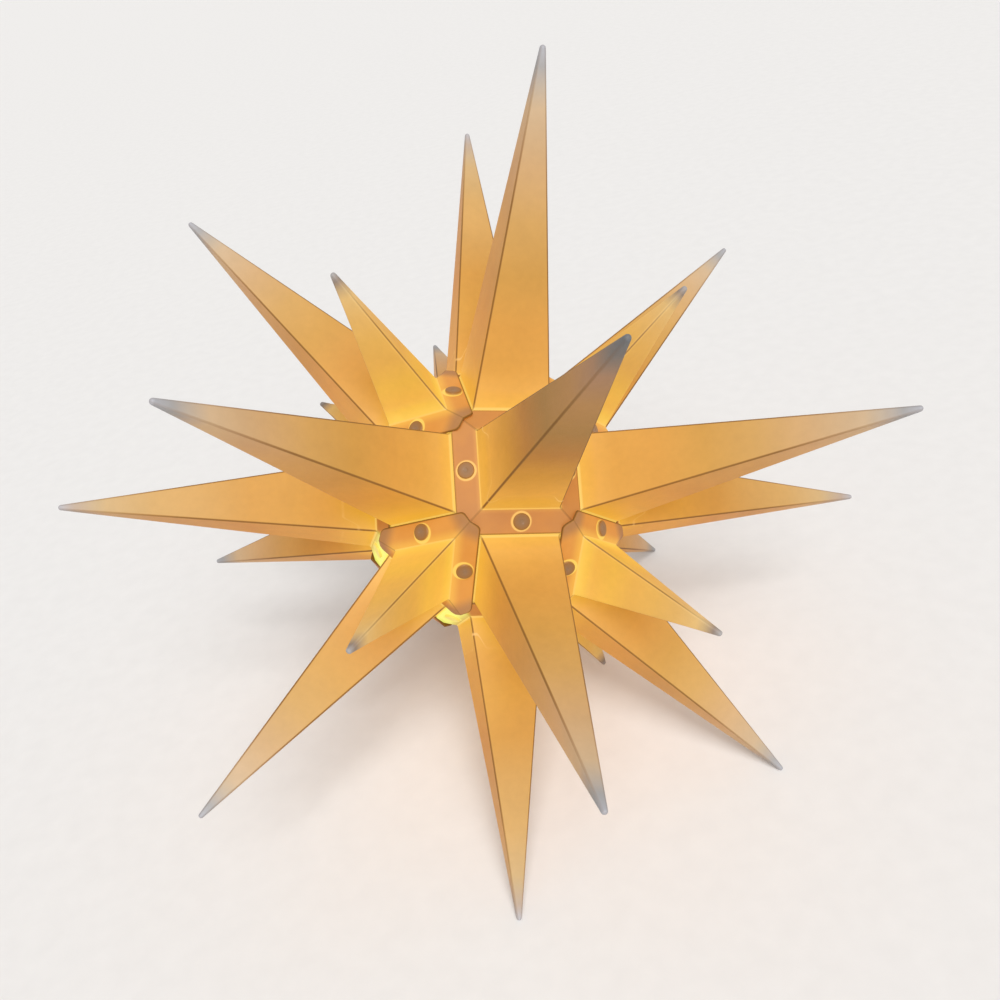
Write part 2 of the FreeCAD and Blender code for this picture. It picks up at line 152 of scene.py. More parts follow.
# ---- nodes -------------------------------------------------------------------------------
# Inputs of a RANGE: the value, the two limits it moves between, and what they become.
MATH, VECTOR, MIX = "ShaderNodeMath", "ShaderNodeVectorMath", "ShaderNodeMix"
RAMP, RANGE, NOISE = "ShaderNodeValToRGB", "ShaderNodeMapRange", "ShaderNodeTexNoise"
COMBINE, POSITION, ATTRIBUTE = ("ShaderNodeCombineXYZ", "ShaderNodeTexCoord",
                                "ShaderNodeAttribute")
SOFT = {"interpolation_type": "SMOOTHSTEP"}


def add(tree, kind, inputs=(), stops=(), output=None, **settings):
    """Adds a node with its settings, sets or links its inputs, and returns one output.

    Inputs go by their order or by name; colours may be hex colours. The output is the first one
    in use, unless it is named.
    """
    node = tree.nodes.new(kind)
    for name, value in settings.items():
        setattr(node, name, value)
    for key, value in (inputs.items() if isinstance(inputs, dict) else enumerate(inputs)):
        if isinstance(value, bpy.types.NodeSocket):
            tree.links.new(value, node.inputs[key])
        else:
            node.inputs[key].default_value = rgba(value) if isinstance(value, str) else value
    if stops:
        elements = node.color_ramp.elements
        for _ in range(len(stops) - 2):
            elements.new(0.5)
        for element, (position, colour) in zip(elements, stops):
            element.position = position
            element.color = rgba(colour)
    if output:
        return node.outputs[output]
    return next((socket for socket in node.outputs if socket.enabled), None)


def new_material(name):
    """An empty material, and the function that adds nodes to it."""
    material = bpy.data.materials.new(name)
    material.use_nodes = True
    material.node_tree.nodes.clear()
    return material, partial(add, material.node_tree)


def finish_surface(put, values, relief=None, strength=0.25, depth=0.03):
    """Closes a material with one Principled surface, and a fine relief of a depth in mm."""
    inputs = dict(values)
    if relief is not None:
        inputs["Normal"] = put("ShaderNodeBump", {
            "Strength": strength, "Distance": depth * MILLIMETRE, "Height": relief})
    surface = put("ShaderNodeBsdfPrincipled", inputs)
    put("ShaderNodeOutputMaterial", {"Surface": surface})


def dress(piece, material):
    """Puts one material in every slot of a piece."""
    if not piece.material_slots:
        piece.data.materials.append(material)
    for slot in piece.material_slots:
        slot.material = material


# ---- meshes ------------------------------------------------------------------------------
def grid_mesh(grid, closes=True):
    """Points and quads of one grid: each point joins its neighbours across and along.

    A closing grid wraps round in its second direction, as a turned surface does.
    """
    rows, columns = grid.shape[:2]
    index = np.arange(rows * columns).reshape(rows, columns)
    here, ahead = index[:-1], index[1:]
    here_next, ahead_next = np.roll(here, -1, axis=1), np.roll(ahead, -1, axis=1)
    if not closes:
        here, here_next = here[:, :-1], here_next[:, :-1]
        ahead, ahead_next = ahead[:, :-1], ahead_next[:, :-1]
    quads = np.stack([here, here_next, ahead_next, ahead], axis=-1).reshape(-1, 4)
    return grid.reshape(-1, 3), quads


def linked(name, points, quads):
    """A new piece from points and quads, linked to the scene."""
    mesh = bpy.data.meshes.new(name)
    mesh.from_pydata(points.tolist(), [], quads.tolist())
    mesh.update()
    piece = bpy.data.objects.new(name, mesh)
    bpy.context.scene.collection.objects.link(piece)
    return piece


MERGE_DISTANCE = 0.000001       # m: poles and seams lie closer than this
SHARP_DEGREES, THREAD_SHARP_DEGREES = 35.0, 60.0


def solid_piece(name, grids, sharp=SHARP_DEGREES, **values):
    """One piece of closed surfaces, its poles and seams merged and its faces turned outwards.

    The values are numbers per point, kept on the piece as attributes of the same names.
    """
    points, quads, count = [], [], 0
    for grid in grids:
        own_points, own_quads = grid_mesh(grid)
        points.append(own_points)
        quads.append(own_quads + count)
        count += len(own_points)
    piece = linked(name, np.concatenate(points), np.concatenate(quads))
    for key, numbers in values.items():
        attribute = piece.data.attributes.new(key, "FLOAT", "POINT")
        attribute.data.foreach_set("value", numbers.astype(np.float32))
    working = bmesh.new()
    working.from_mesh(piece.data)
    bmesh.ops.remove_doubles(working, verts=working.verts, dist=MERGE_DISTANCE)
    bmesh.ops.recalc_face_normals(working, faces=working.faces)
    working.to_mesh(piece.data)
    working.free()
    piece.data.shade_smooth()
    piece.data.set_sharp_from_angle(angle=math.radians(sharp))
    return piece


def place_piece(piece, material, node):
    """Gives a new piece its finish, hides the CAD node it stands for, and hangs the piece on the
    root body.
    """
    dress(piece, material)
    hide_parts(node)
    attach(piece, "root")


def mesh_points(piece):
    """All vertices of a piece as rows of x, y, z."""
    flat = np.zeros(len(piece.data.vertices) * 3, np.float32)
    piece.data.vertices.foreach_get("co", flat)
    return flat.reshape(-1, 3).astype(float)


# ---- the star's own axes -----------------------------------------------------------------
TIP_DEPTH = 0.0002              # m: what lies this near the farthest point is the tip


def star_axes():
    """The star's centre and its three axes as columns, read from the tips of the face points.

    Face points 1 to 6 stand on minus x, minus y, minus z, z, y and x.
    """
    pieces = [mesh_points(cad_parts["face_point_%d" % number]) for number in range(1, 7)]
    means = np.array([points.mean(axis=0) for points in pieces])
    tips = []
    for points, mean in zip(pieces, means):
        outward = mean - means.mean(axis=0)
        reach = points @ (outward / np.linalg.norm(outward))
        tips.append(points[reach > reach.max() - TIP_DEPTH].mean(axis=0))
    tips = np.array(tips)
    axes = tips[[5, 4, 3]] - tips[[0, 1, 2]]
    return tips.mean(axis=0), (axes / np.linalg.norm(axes, axis=1, keepdims=True)).T


STAR_CENTRE, STAR_AXES = star_axes()


def to_frame(points):
    """Points in mm in the star's axes, as metres in the standing frame."""
    return points * MILLIMETRE @ STAR_AXES.T + STAR_CENTRE


# ---- plastic of the points ---------------------------------------------------------------
# Lit colours along a wall, from the fold (0) to the tip (1). The plastic is white; the bulb's
# light turns it amber near the core, and only the room lights the solid tip.
SQUARE_GLOW = ((0.0, "#F4B956"), (0.04, "#E8AB4D"), (0.12, "#E0A248"), (0.25, "#DDA145"),
               (0.4, "#D49844"), (0.55, "#D19C55"), (0.7, "#D1A05F"), (0.85, "#CBA573"),
               (0.95, "#B39F8E"), (1.0, "#AEADB2"))
TUCKED_GLOW = ((0.0, "#F7BE5C"), (0.04, "#EEB35A"), (0.12, "#E1A54D"), (0.25, "#DA9D48"),
               (0.4, "#CF9949"), (0.55, "#CF9E59"), (0.7, "#CEA371"), (0.85, "#CBAC88"),
               (0.95, "#A29F9D"), (1.0, "#ABABB0"))
# A darker copy of the square glow: painted shade, for one point only.
SHADED_GLOW = ((0.0, "#EEB65E"), (0.04, "#ECB45D"), (0.12, "#E8AE5C"), (0.25, "#D39D49"),
            (0.4, "#BA8945"), (0.55, "#AC864B"), (0.7, "#B68D56"), (0.84, "#AC8868"),
            (0.93, "#827A74"), (1.0, "#6F7478"))
TRIANGLE_GLOW = ((0.0, "#FFD066"), (0.04, "#F9CB62"), (0.12, "#F3BC5A"), (0.25, "#EFBC54"),
                 (0.4, "#E5B157"), (0.55, "#E4B35C"), (0.7, "#E3B569"), (0.84, "#E2BC7C"),
                 (0.9, "#C5A97E"), (0.95, "#948578"), (1.0, "#A6A4A4"))
PLATE_GLOW = ((0.0, "#EDB661"), (1.0, "#E8AE58"))

# Room light that the plastic throws back, along a wall. A thin wall lets most of it through.
WALL_REFLECTS = ((0.0, "#90704A"), (0.45, "#9B8680"), (0.84, "#9F9498"), (0.97, "#ADADB5"))
MOST_REFLECTED = 0.92           # of the lit colour
GLOSS_ADDS = 0.02               # white light that the surface's gloss adds in a plain room

TUCKED_COLLAR, NEAR_BULB, HOT_COLLAR = "#FFCF69", "#FDC65A", "#FFFA84"
# Painted shade at a triangular collar's corners, a pale line of painted light on a square wall, a
# painted shadow along a rim's top, and painted shade on the rim's side.
COLLAR_CORNER_SHADE, FLANGE_LIGHT_EDGE, RIM_SHADOW_LINE, RIM_SIDE_SHADE = "#AA7B4E", "#FBCB86", "#A87426", "#7A5220"
HOLDER_SHADOW = "#A98257"

HOT_DIRECTION = (-1 / ROOT_2, -1 / ROOT_2, 0.0)    # to the tucked point that is lit most
NEAR_BULB_FROM, NEAR_BULB_TO, NEAR_BULB_SHARE = 25.0, 76.0, 0.35    # mm in that direction
HOT_FROM, HOT_TO = 71.0, 75.5
MARK_HIGH, MARK_LOW = 20.0, 11.0    # pale line of painted light above the fold: mid facet, and at its ends, mm
HOLDER_EDGE, SHADOW_END = 12.0, 19.0    # mm from the plate's middle


class Family(NamedTuple):
    """What differs between the points of one family. Lengths are in mm."""
    kind: str               # whose sizes it has
    weights: tuple          # of the sorted star coordinates: height, distance out, and along
    half_width: float       # of a facet, as a share of its distance out
    near_bulb_end: float    # share of the wall up to which the bulb's nearness shows
    fold_core: float        # the bright fold line ends this far up the wall
    fold_fade: float        # and its glow this far
    patches: str = ""       # duller places of a collar
    lead: tuple = ()        # yellower towards the fold: width, share and colour
    ring: tuple = ()        # pale ring round a rivet: shift towards the fold, and colour


# Each family of points folds onto one by the cube's symmetry. With the star's coordinates made
# positive and sorted, the weights give the height along the point's axis, the distance out to a
# facet, and the distance along the facet.
FAMILIES = {
    "face": Family(
        kind="square", weights=((1, 0, 0), (0, 1, 0), (0, 0, 1)), half_width=1.0,
        near_bulb_end=0.2, fold_core=0.3, fold_fade=1.4, patches="#D48F45",
        lead=(3.2, 0.55, "#E0A24E"), ring=(0.0, "#FCC974")),
    "edge": Family(
        kind="square", half_width=1.0, near_bulb_end=0.2, fold_core=0.2, fold_fade=1.1,
        weights=((1 / ROOT_2, 1 / ROOT_2, 0), (1 / ROOT_2, -1 / ROOT_2, 0), (0, 0, 1))),
    "corner": Family(
        kind="triangle", half_width=ROOT_3, near_bulb_end=0.4, fold_core=0.3, fold_fade=1.4,
        weights=((1 / ROOT_3, 1 / ROOT_3, 1 / ROOT_3), (1 / ROOT_6, 1 / ROOT_6, -2 / ROOT_6),
                 (1 / ROOT_2, -1 / ROOT_2, 0)),
        patches="#E49F4C", lead=(7.0, 0.8, "#F4BA4F"), ring=(0.8, "#FFD56C")),
}


def place_on_point(put, family):
    """A place in the star's axes, its height, distance out and distance along its facet, in mm."""
    turn = Matrix(STAR_AXES.T.tolist())
    own = put("ShaderNodeMapping", {
        "Vector": put(POSITION, output="Object"),
        "Location": turn @ Vector(STAR_CENTRE.tolist()) / -MILLIMETRE,
        "Rotation": turn.to_euler(), "Scale": (1.0 / MILLIMETRE,) * 3})
    positive = put(VECTOR, [own], operation="ABSOLUTE")
    x, y, z = put("ShaderNodeSeparateXYZ", [positive]).node.outputs
    largest, smallest = (
        put(MATH, [put(MATH, [x, y], operation=operation), z], operation=operation)
        for operation in ("MAXIMUM", "MINIMUM"))
    middle = put(VECTOR, [positive, (1.0, 1.0, 1.0)], operation="DOT_PRODUCT")
    for end in (largest, smallest):
        middle = put(MATH, [middle, end], operation="SUBTRACT")
    ordered = put(COMBINE, [largest, middle, smallest])
    height, out, side = (put(VECTOR, [ordered, weights], operation="DOT_PRODUCT")
                         for weights in FAMILIES[family].weights)
    if family == "edge":
        out, side = (put(MATH, [out, side], operation=operation)
                     for operation in ("MAXIMUM", "MINIMUM"))
    return own, height, out, side


class LitPolypropylene:
    """Translucent white polypropylene, injection moulded satin, with the lamp's light behind it.

    It gives the eye an even amber glow that pales towards the tip, brown lines of painted shade
    where the walls meet, and a bright line along each fold, where the plastic is thinnest. The
    methods lay one thing after another over the wall's colour.
    """

    def __init__(self, name, family, glow):
        sizes, self.colours = bpy.context.scene.star_sizes, bpy.context.scene.star_colours
        self.material, self.put = new_material(name)
        put, self.family, self.facts = self.put, family, FAMILIES[family]
        kind = self.facts.kind
        fold, inradius, reach, self.width, self.rivet_from_fold, self.rivet_head = in_mm(
            sizes, kind + "_fold_height", kind + "_fold_inradius", kind + "_reach",
            kind + "_collar_width", "rivet_from_fold", "rivet_head_diameter")
        self.inradius, self.tilt = inradius, getattr(sizes, kind + "_strip_tilt")

        self.own, height, self.out, self.side = place_on_point(put, family)
        # Above the fold's plane, beyond the fold line, and up the wall (or, below zero, down
        # the collar), in mm. The share runs from the fold (0) to the tip (1).
        self.above = put(MATH, [height, fold], operation="SUBTRACT")
        self.beyond = put(MATH, [self.out, inradius], operation="SUBTRACT")
        self.from_fold = put(MATH, [self.above, self.beyond], operation="SUBTRACT")
        self.along_strip = put(MATH, [self.beyond, math.cos(self.tilt)], operation="DIVIDE")
        self.share = put(MATH, [self.above, reach - fold], operation="DIVIDE", use_clamp=True)
        self.on_collar = put(RANGE, [self.from_fold, -0.5, 0.3, 1.0, 0.0])
        self.patches = put(NOISE, {"Vector": self.own, "Scale": 0.06, "Detail": 2.0})
        self.towards_bulb = put(VECTOR, [self.own, HOT_DIRECTION], operation="DOT_PRODUCT")
        self.colour = self.clouded(put(RAMP, [self.share], stops=glow))

    def clouded(self, colour):
        """Soft clouds 40 mm and flecks 5 mm wide, where the wall's thickness varies."""
        put = self.put
        clouds, flecks = (
            put(RANGE, [put(NOISE, {"Vector": self.own, "Scale": scale, "Detail": detail,
                                    "Roughness": rough}), 0.3, 0.7, 1.0 - spread, 1.0 + spread])
            for scale, detail, rough, spread in (
                (0.025, 3.0, 0.55, 0.05), (0.22, 4.0, 0.6, 0.025)))
        level = put(MATH, [clouds, flecks], operation="MULTIPLY")
        return put(VECTOR, {0: colour, "Scale": level}, operation="SCALE")

    def lay(self, colour, *shares):
        """Lays a colour over what is there, by the product of its shares."""
        share = shares[0]
        for other in shares[1:]:
            share = self.put(MATH, [share, other], operation="MULTIPLY")
        self.colour = self.put(MIX, {0: share, 6: self.colour, 7: colour}, data_type="RGBA")

    def from_spot(self, across, side):
        """Distance from a spot, given the distances across and along."""
        return self.put(VECTOR, [self.put(COMBINE, [across, side])], operation="LENGTH")

    def near_bulb(self):
        """Walls are yellower low down on the side that is lit most."""
        put = self.put
        near = put(RANGE, [self.towards_bulb, NEAR_BULB_FROM, NEAR_BULB_TO, 0.0, NEAR_BULB_SHARE],
                   **SOFT)
        low = put(RANGE, [self.share, 0.02, self.facts.near_bulb_end, 1.0, 0.0], **SOFT)
        self.lay(NEAR_BULB, near, low)

    def tucked_collar(self):
        """Only the last stretch of a tucked collar shows, and the gap lights it."""
        self.lay(TUCKED_COLLAR, self.on_collar)

    def upper_collar(self):
        """A collar on top is duller, since two layers lie on each other."""
        put, facts = self.put, self.facts
        self.lay(rgba(getattr(self.colours, facts.kind + "_collar")), self.on_collar)
        self.lay(facts.patches, self.on_collar, put(RANGE, [self.patches, 0.35, 0.65, 0.0, 0.6]))
        width, most, colour = facts.lead
        self.lay(colour, self.on_collar,
                 put(RANGE, [self.along_strip, 0.0, width, most, 0.0], **SOFT))

    def collar_corner_shade(self):
        """Three layers lie on each other at a triangular collar's corners: painted shade, brown,
        where less of the lamp's light comes through.
        """
        put = self.put
        along = put(VECTOR, [put(COMBINE, [self.out, self.side]), (0.5, ROOT_3 / 2, 0.0)],
                    operation="DOT_PRODUCT")
        self.lay(COLLAR_CORNER_SHADE, self.on_collar, put(
            RANGE, [along, 2.05 * self.inradius, 2.75 * self.inradius, 0.0, 0.85], **SOFT))

    def fold_line(self):
        """Along the fold a bright core 1 to 2 mm wide fades up the wall."""
        put = self.put
        up_wall = put(RANGE, [self.from_fold, self.facts.fold_core, self.facts.fold_fade,
                              1.0, 0.0], **SOFT)
        down_collar = put(RANGE, [self.from_fold, -1.0, -0.3, 0.0, 0.9], **SOFT)
        self.lay(rgba(self.colours.fold_band), up_wall, down_collar)

    def edge_shade_lines(self, on_wall=0.85):
        """A brown line of painted shade 1.3 mm wide, where thick plastic lets less light through,
        runs along the point's edges and the collar's creases.
        """
        put = self.put
        half_width = put(MATH, [self.out, self.facts.half_width], operation="MULTIPLY")
        gap = put(MATH, [half_width, self.side], operation="SUBTRACT")
        line = put(RANGE, [put(MATH, [gap], operation="ABSOLUTE"), 0.4, 1.3, 1.0, 0.0], **SOFT)
        strength = put(RANGE, [self.from_fold, -1.0, 4.0, 0.4, on_wall])
        self.lay(rgba(self.colours.edge_shade), line, strength,
                 put(RANGE, [self.share, 0.6, 0.97, 1.0, 0.15]))

    def flange_light_edge(self):
        """A pale broken line of painted light, where the flange edges inside bound the lamp's
        light on the wall, dips near each edge and is clearest there.
        """
        put = self.put
        across = put(MATH, [self.side, self.out], operation="DIVIDE")
        level = put(RANGE, [across, 0.62, 0.9, MARK_HIGH, MARK_LOW], **SOFT)
        off_mark = put(MATH, [self.above, level], operation="SUBTRACT")
        off_mark = put(MATH, [off_mark], operation="ABSOLUTE")
        self.lay(FLANGE_LIGHT_EDGE, put(RANGE, [off_mark, 0.3, 1.2, 1.0, 0.0], **SOFT),
                 put(RANGE, [across, 0.5, 0.85, 0.15, 0.8]),
                 put(RANGE, [self.patches, 0.42, 0.58, 0.3, 1.0]))

    def rivet_ring(self):
        """Light comes out round each rivet's head in a pale ring 1.7 mm wide."""
        put, (shift, colour) = self.put, self.facts.ring
        across = put(MATH, [self.along_strip, self.rivet_from_fold - shift],
                     operation="SUBTRACT")
        inner, outer = (self.rivet_head / 2.0 + gap for gap in (0.7, 1.7))
        distance = self.from_spot(across, self.side)
        self.lay(colour, put(RANGE, [distance, inner, outer, 0.95, 0.0], **SOFT), self.on_collar)

    def rim(self):
        """The rim's upper edge has a brown line of painted shadow, and its cut side is painted in
        shade.

        A new collar knows the distance to its rim. On a packed one the side is what lies below
        the strip's plane, away from the fold.
        """
        put = self.put
        if self.family == "corner":
            to_rim = put(ATTRIBUTE, output="Fac", attribute_name="rim_distance")
            shares = [put(RANGE, [to_rim, -0.2, 0.1, 0.85, 0.0])]
        else:
            to_rim = put(MATH, [self.width, self.along_strip], operation="SUBTRACT")
            down = put(VECTOR, [put(COMBINE, [self.above, self.beyond]),
                                (-math.cos(self.tilt), -math.sin(self.tilt), 0.0)],
                       operation="DOT_PRODUCT")
            shares = [put(RANGE, [down, 0.15, 0.45, 0.0, 0.85]),
                      put(RANGE, [self.beyond, 3.0, 4.0, 0.0, 1.0])]
        # painted shadow along the rim's top, and painted shade on its side
        self.lay(RIM_SHADOW_LINE, put(RANGE, [to_rim, 0.3, 0.8, 0.8, 0.0]), self.on_collar)
        self.lay(RIM_SIDE_SHADE, *shares)

    def hot_collar(self):
        """Bright where the bulb's light reaches the collars beside it most directly."""
        hot = self.put(RANGE, [self.towards_bulb, HOT_FROM, HOT_TO, 0.0, 1.0], **SOFT)
        self.lay(HOT_COLLAR, self.on_collar, hot)

    def holder_shadow(self):
        """The lamp holder stands behind the plate's middle and keeps the light off it."""
        distance = self.from_spot(self.out, self.side)
        self.lay(HOLDER_SHADOW,
                 self.put(RANGE, [distance, HOLDER_EDGE, SHADOW_END, 0.9, 0.0], **SOFT))

    def finished(self):
        """The material: the wall throws back part of the room's light, the lamp adds the rest.

        Its relief is the mould's eroded texture, drawn 0.6 mm coarse so that it shows.
        """
        put, own = self.put, self.own
        reflects = put(RAMP, [self.share], stops=WALL_REFLECTS)
        most = put(VECTOR, {0: self.colour, "Scale": MOST_REFLECTED}, operation="SCALE")
        base = put(VECTOR, [reflects, most], operation="MINIMUM")
        lamp = put(VECTOR, [self.colour, base], operation="SUBTRACT")
        lamp = put(VECTOR, [lamp, (GLOSS_ADDS,) * 3], operation="SUBTRACT")
        lamp = put(VECTOR, [lamp, (0.0, 0.0, 0.0)], operation="MAXIMUM")
        grain = put(NOISE, {"Vector": own, "Scale": 1.6, "Detail": 2.0})
        waves = put(NOISE, {"Vector": own, "Scale": 0.05, "Detail": 1.0})
        relief = put(MATH, [waves, 6.0, grain], operation="MULTIPLY_ADD")
        finish_surface(put, {
            "Base Color": base, "Roughness": put(RANGE, [grain, 0.3, 0.7, 0.48, 0.6]),
            "IOR": 1.49, "Specular IOR Level": 0.3, "Emission Color": lamp,
            "Emission Strength": 1.0}, relief, depth=0.04)
        return self.material


SHADED_POINT = 4                   # painted shade: this point's glow is drawn darker all over


def square_plastic(name, glow):
    """Plastic of a square point whose collar lies on top."""
    plastic = LitPolypropylene(name, "face", glow)
    for step in (plastic.near_bulb, plastic.upper_collar, plastic.fold_line, plastic.edge_shade_lines,
                 plastic.flange_light_edge, plastic.rivet_ring, plastic.rim, plastic.hot_collar):
        step()
    return plastic.finished()


class STAR_OT_square_points(Operator):
    """Dress the six square points on the cube's faces, whose collars lie on top"""
    bl_idname = "star.square_points"
    bl_label = "Square points"

    def execute(self, context):
        lit = square_plastic("lit_polypropylene_square", SQUARE_GLOW)
        # painted shade: one point gets a darker copy of the same plastic
        shaded_copy = square_plastic("lit_polypropylene_painted_shade", SHADED_GLOW)
        for number in range(1, 7):
            dress(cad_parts["face_point_%d" % number], shaded_copy if number == SHADED_POINT else lit)
        return {"FINISHED"}


class STAR_OT_tucked_points(Operator):
    """Dress the eleven square points on the cube's edges, whose collars are tucked under"""
    bl_idname = "star.tucked_points"
    bl_label = "Tucked points"

    def execute(self, context):
        plastic = LitPolypropylene("lit_polypropylene_tucked", "edge", TUCKED_GLOW)
        for step in (plastic.near_bulb, plastic.tucked_collar, plastic.fold_line,
                     plastic.edge_shade_lines):
            step()
        material = plastic.finished()
        for number in range(1, 12):
            dress(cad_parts["edge_point_%d" % number], material)
        return {"FINISHED"}


# ---- triangular points -------------------------------------------------------------------
WALL = 1.0                                      # these sizes are all in mm
FLARE_HEIGHT, FLARE_WIDTH = 1.0, 0.4            # where a wall runs out into its fold
EDGE_RADIUS, INNER_EDGE_RADIUS = 1.4, 0.4       # along a point's edges, outside and inside
TIP_RADIUS, SOLID_TIP = 1.6, 11.0
RIM_CORNER_RADIUS, RIM_CORNER_CUT = 4.5, 3.9    # rounding, and half of the straight cut
CREASE_BLEND = 1.6
TIP_TURNS = (78.0, 55.0, 30.0)                  # rows of the tip's dome, degrees up
COLLAR_SHARES = (0.0, 0.1, 0.25, 0.4, 0.55, 0.7, 0.82, 0.92, 0.97)  # rows from foot to rim
RIM_DROPS = (0.25, 0.9)                         # rows down the rim's side
UNDER_SHARES = (0.98, 0.8, 0.6, 0.4, 0.2, 0.0)  # rows back under the collar
SEEN_WALL, SEEN_RIM = 99.0, -1.0                # rim distance away from the collar's top
CORNER_ANGLES = np.radians((60.0, 180.0, 300.0))
STRIP_ANGLES = np.radians((0.0, 120.0, 240.0))


def rounded_triangle(inradius, radius, cut=0.0):
    """Outline seen along the axis: corners as arcs from -60 to 60 degrees, joined by runs.

    In a corner's own axes the arc is (middle + radius cos, cut sign + radius sin), where the
    middle is 2 (inradius - radius) - root 3 cut, so that it touches both sides.
    """
    turn = np.radians(np.linspace(-60.0, 60.0, 13))
    ahead = 2.0 * (inradius - radius) - ROOT_3 * cut + radius * np.cos(turn)
    aside = cut * np.clip(turn / math.radians(10.0), -1.0, 1.0) + radius * np.sin(turn)
    corners = [np.stack([ahead * math.cos(angle) - aside * math.sin(angle),
                         ahead * math.sin(angle) + aside * math.cos(angle)], axis=-1)
               for angle in CORNER_ANGLES]
    share = np.linspace(0.0, 1.0, 10)[1:-1, None]
    outline = []
    for corner, following in zip(corners, corners[1:] + corners[:1]):
        outline += [corner, corner[-1] * (1.0 - share) + following[0] * share]
    return np.concatenate(outline)


def triangular_point():
    """Grid of a whole triangular point in its own axes, in mm, and each place's rim distance.

    From the tip's outside it runs down the wall, over the fold, out along the collar, round the
    rim, and back inside to the end of the hollow. The collar's height falls with the largest of
    its three distances out, taken softly as blend times the log of the summed exponentials, so
    that its creases are round.
    """
    sizes = bpy.context.scene.star_sizes
    fold, inradius, reach, width = in_mm(
        sizes, "triangle_fold_height", "triangle_fold_inradius", "triangle_reach",
        "triangle_collar_width")
    tilt = sizes.triangle_strip_tilt
    slope = math.atan(inradius / (reach - fold))
    apex = reach + TIP_RADIUS * (1.0 / math.sin(slope) - 1.0)
    rows = [(rounded_triangle(0.0, 0.0), reach, SEEN_WALL)]

    def wall_inradius(level):
        """Axis to a wall's outside at a level: it falls evenly to nothing at the apex."""
        return (apex - level) * inradius / (apex - fold)

    # Tip: a dome that meets the walls smoothly.
    dome = apex - TIP_RADIUS / math.sin(slope)
    for turn in (*np.radians(TIP_TURNS), slope):
        span = TIP_RADIUS * math.cos(turn)
        rows.append((rounded_triangle(span, 0.9 * span), dome + TIP_RADIUS * math.sin(turn),
                     SEEN_WALL))
    for level in np.linspace(reach - 2.0 * SOLID_TIP, fold + FLARE_HEIGHT, 6):
        rows.append((rounded_triangle(wall_inradius(level), EDGE_RADIUS), level, SEEN_WALL))

    # Collar: straight from the point's foot to the rim, seen along the axis.
    foot = rounded_triangle(inradius + FLARE_WIDTH, EDGE_RADIUS)
    inner_foot = rounded_triangle(inradius - WALL, INNER_EDGE_RADIUS)
    rim = rounded_triangle(inradius + width * math.cos(tilt), RIM_CORNER_RADIUS, RIM_CORNER_CUT)
    strips = np.stack([np.cos(STRIP_ANGLES), np.sin(STRIP_ANGLES)])

    def strip_height(plan):
        """Height of the collar's top above each place of a plan."""
        out = CREASE_BLEND * np.log(np.exp(plan @ strips / CREASE_BLEND).sum(axis=1))
        return fold - (out - inradius) * math.tan(tilt)

    far = np.linalg.norm(rim - foot, axis=1)
    for share in COLLAR_SHARES:
        plan = foot * (1.0 - share) + rim * share
        rows.append((plan, strip_height(plan), far * (1.0 - share)))
    for drop in RIM_DROPS:
        rows.append((rim, strip_height(rim) - drop, SEEN_RIM))
    for share in UNDER_SHARES:
        plan = inner_foot * (1.0 - share) + rim * share
        rows.append((plan, strip_height(plan) - WALL / math.cos(tilt), SEEN_RIM))

    # Inside, up to where the tip is solid.
    for level in np.linspace(fold + 2.0 * WALL, reach - SOLID_TIP, 6):
        inner = wall_inradius(level) - WALL
        rows.append((rounded_triangle(inner, min(INNER_EDGE_RADIUS, inner)), level, SEEN_WALL))
    rows.append((rounded_triangle(0.0, 0.0), reach - SOLID_TIP, SEEN_WALL))
    grid = np.stack([np.column_stack([plan, np.broadcast_to(level, len(plan))])
                     for plan, level, _ in rows])
    return grid, np.stack([np.broadcast_to(distance, len(foot)) for _, _, distance in rows])


def towards(axis, neighbour):
    """Unit axis, and the unit direction square to it on the neighbour's side."""
    axis = axis / np.linalg.norm(axis)
    side = neighbour - axis * (neighbour @ axis)
    return axis, side / np.linalg.norm(side)


class STAR_OT_triangular_points(Operator):
    """Make the eight triangular points, whose collars' corners are softly rounded"""
    bl_idname = "star.triangular_points"
    bl_label = "Triangular points"

    def execute(self, context):
        plastic = LitPolypropylene("lit_polypropylene_triangle", "corner", TRIANGLE_GLOW)
        for step in (plastic.near_bulb, plastic.upper_collar, plastic.collar_corner_shade,
                     plastic.fold_line, plastic.edge_shade_lines, plastic.rivet_ring, plastic.rim):
            step()
        material = plastic.finished()
        grid, rim_distance = triangular_point()
        for number in range(1, 9):
            node = "corner_point_%d" % number
            middle = mesh_points(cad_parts[node]).mean(axis=0)
            direction = np.sign((middle - STAR_CENTRE) @ STAR_AXES)
            axis, side = towards(direction, direction * (1.0, 1.0, 0.0))
            placed = to_frame(grid @ np.array((side, np.cross(axis, side), axis)))
            piece = solid_piece("triangular_point_%d" % number, [placed],
                                rim_distance=rim_distance.ravel())
            place_piece(piece, material, node)
        return {"FINISHED"}


# ---- rivets ------------------------------------------------------------------------------
# Radius, height above the strip and rounding of each corner, mm. The head is slightly hollow
# in the middle, where the moulding was gated.
RIVET_PROFILE = (
    (0.0, 1.42, 0), (1.1, 1.42, 0.3), (1.5, 1.62, 0.5), (4.5, 1.62, 0.3), (5.0, 1.30, 0.25),
    (5.0, 0.05, 0), (2.1, 0.05, 0.15), (2.1, -2.15, 0.1), (3.5, -2.15, 0.2), (1.6, -3.95, 0.2),
    (0.0, -3.95, 0))
RIVET_SEGMENTS = 32
RIVET_HOT_FROM, RIVET_HOT_OVER = 70.0, 4.0      # mm: start and stretch in HOT_DIRECTION
RIVET_FACE = ((0.0, "#92704F"), (0.35, "#966E46"), (0.75, "#996A36"), (0.95, "#9E6A2C"),
              (1.0, "#A87234"))                 # from the head's middle out
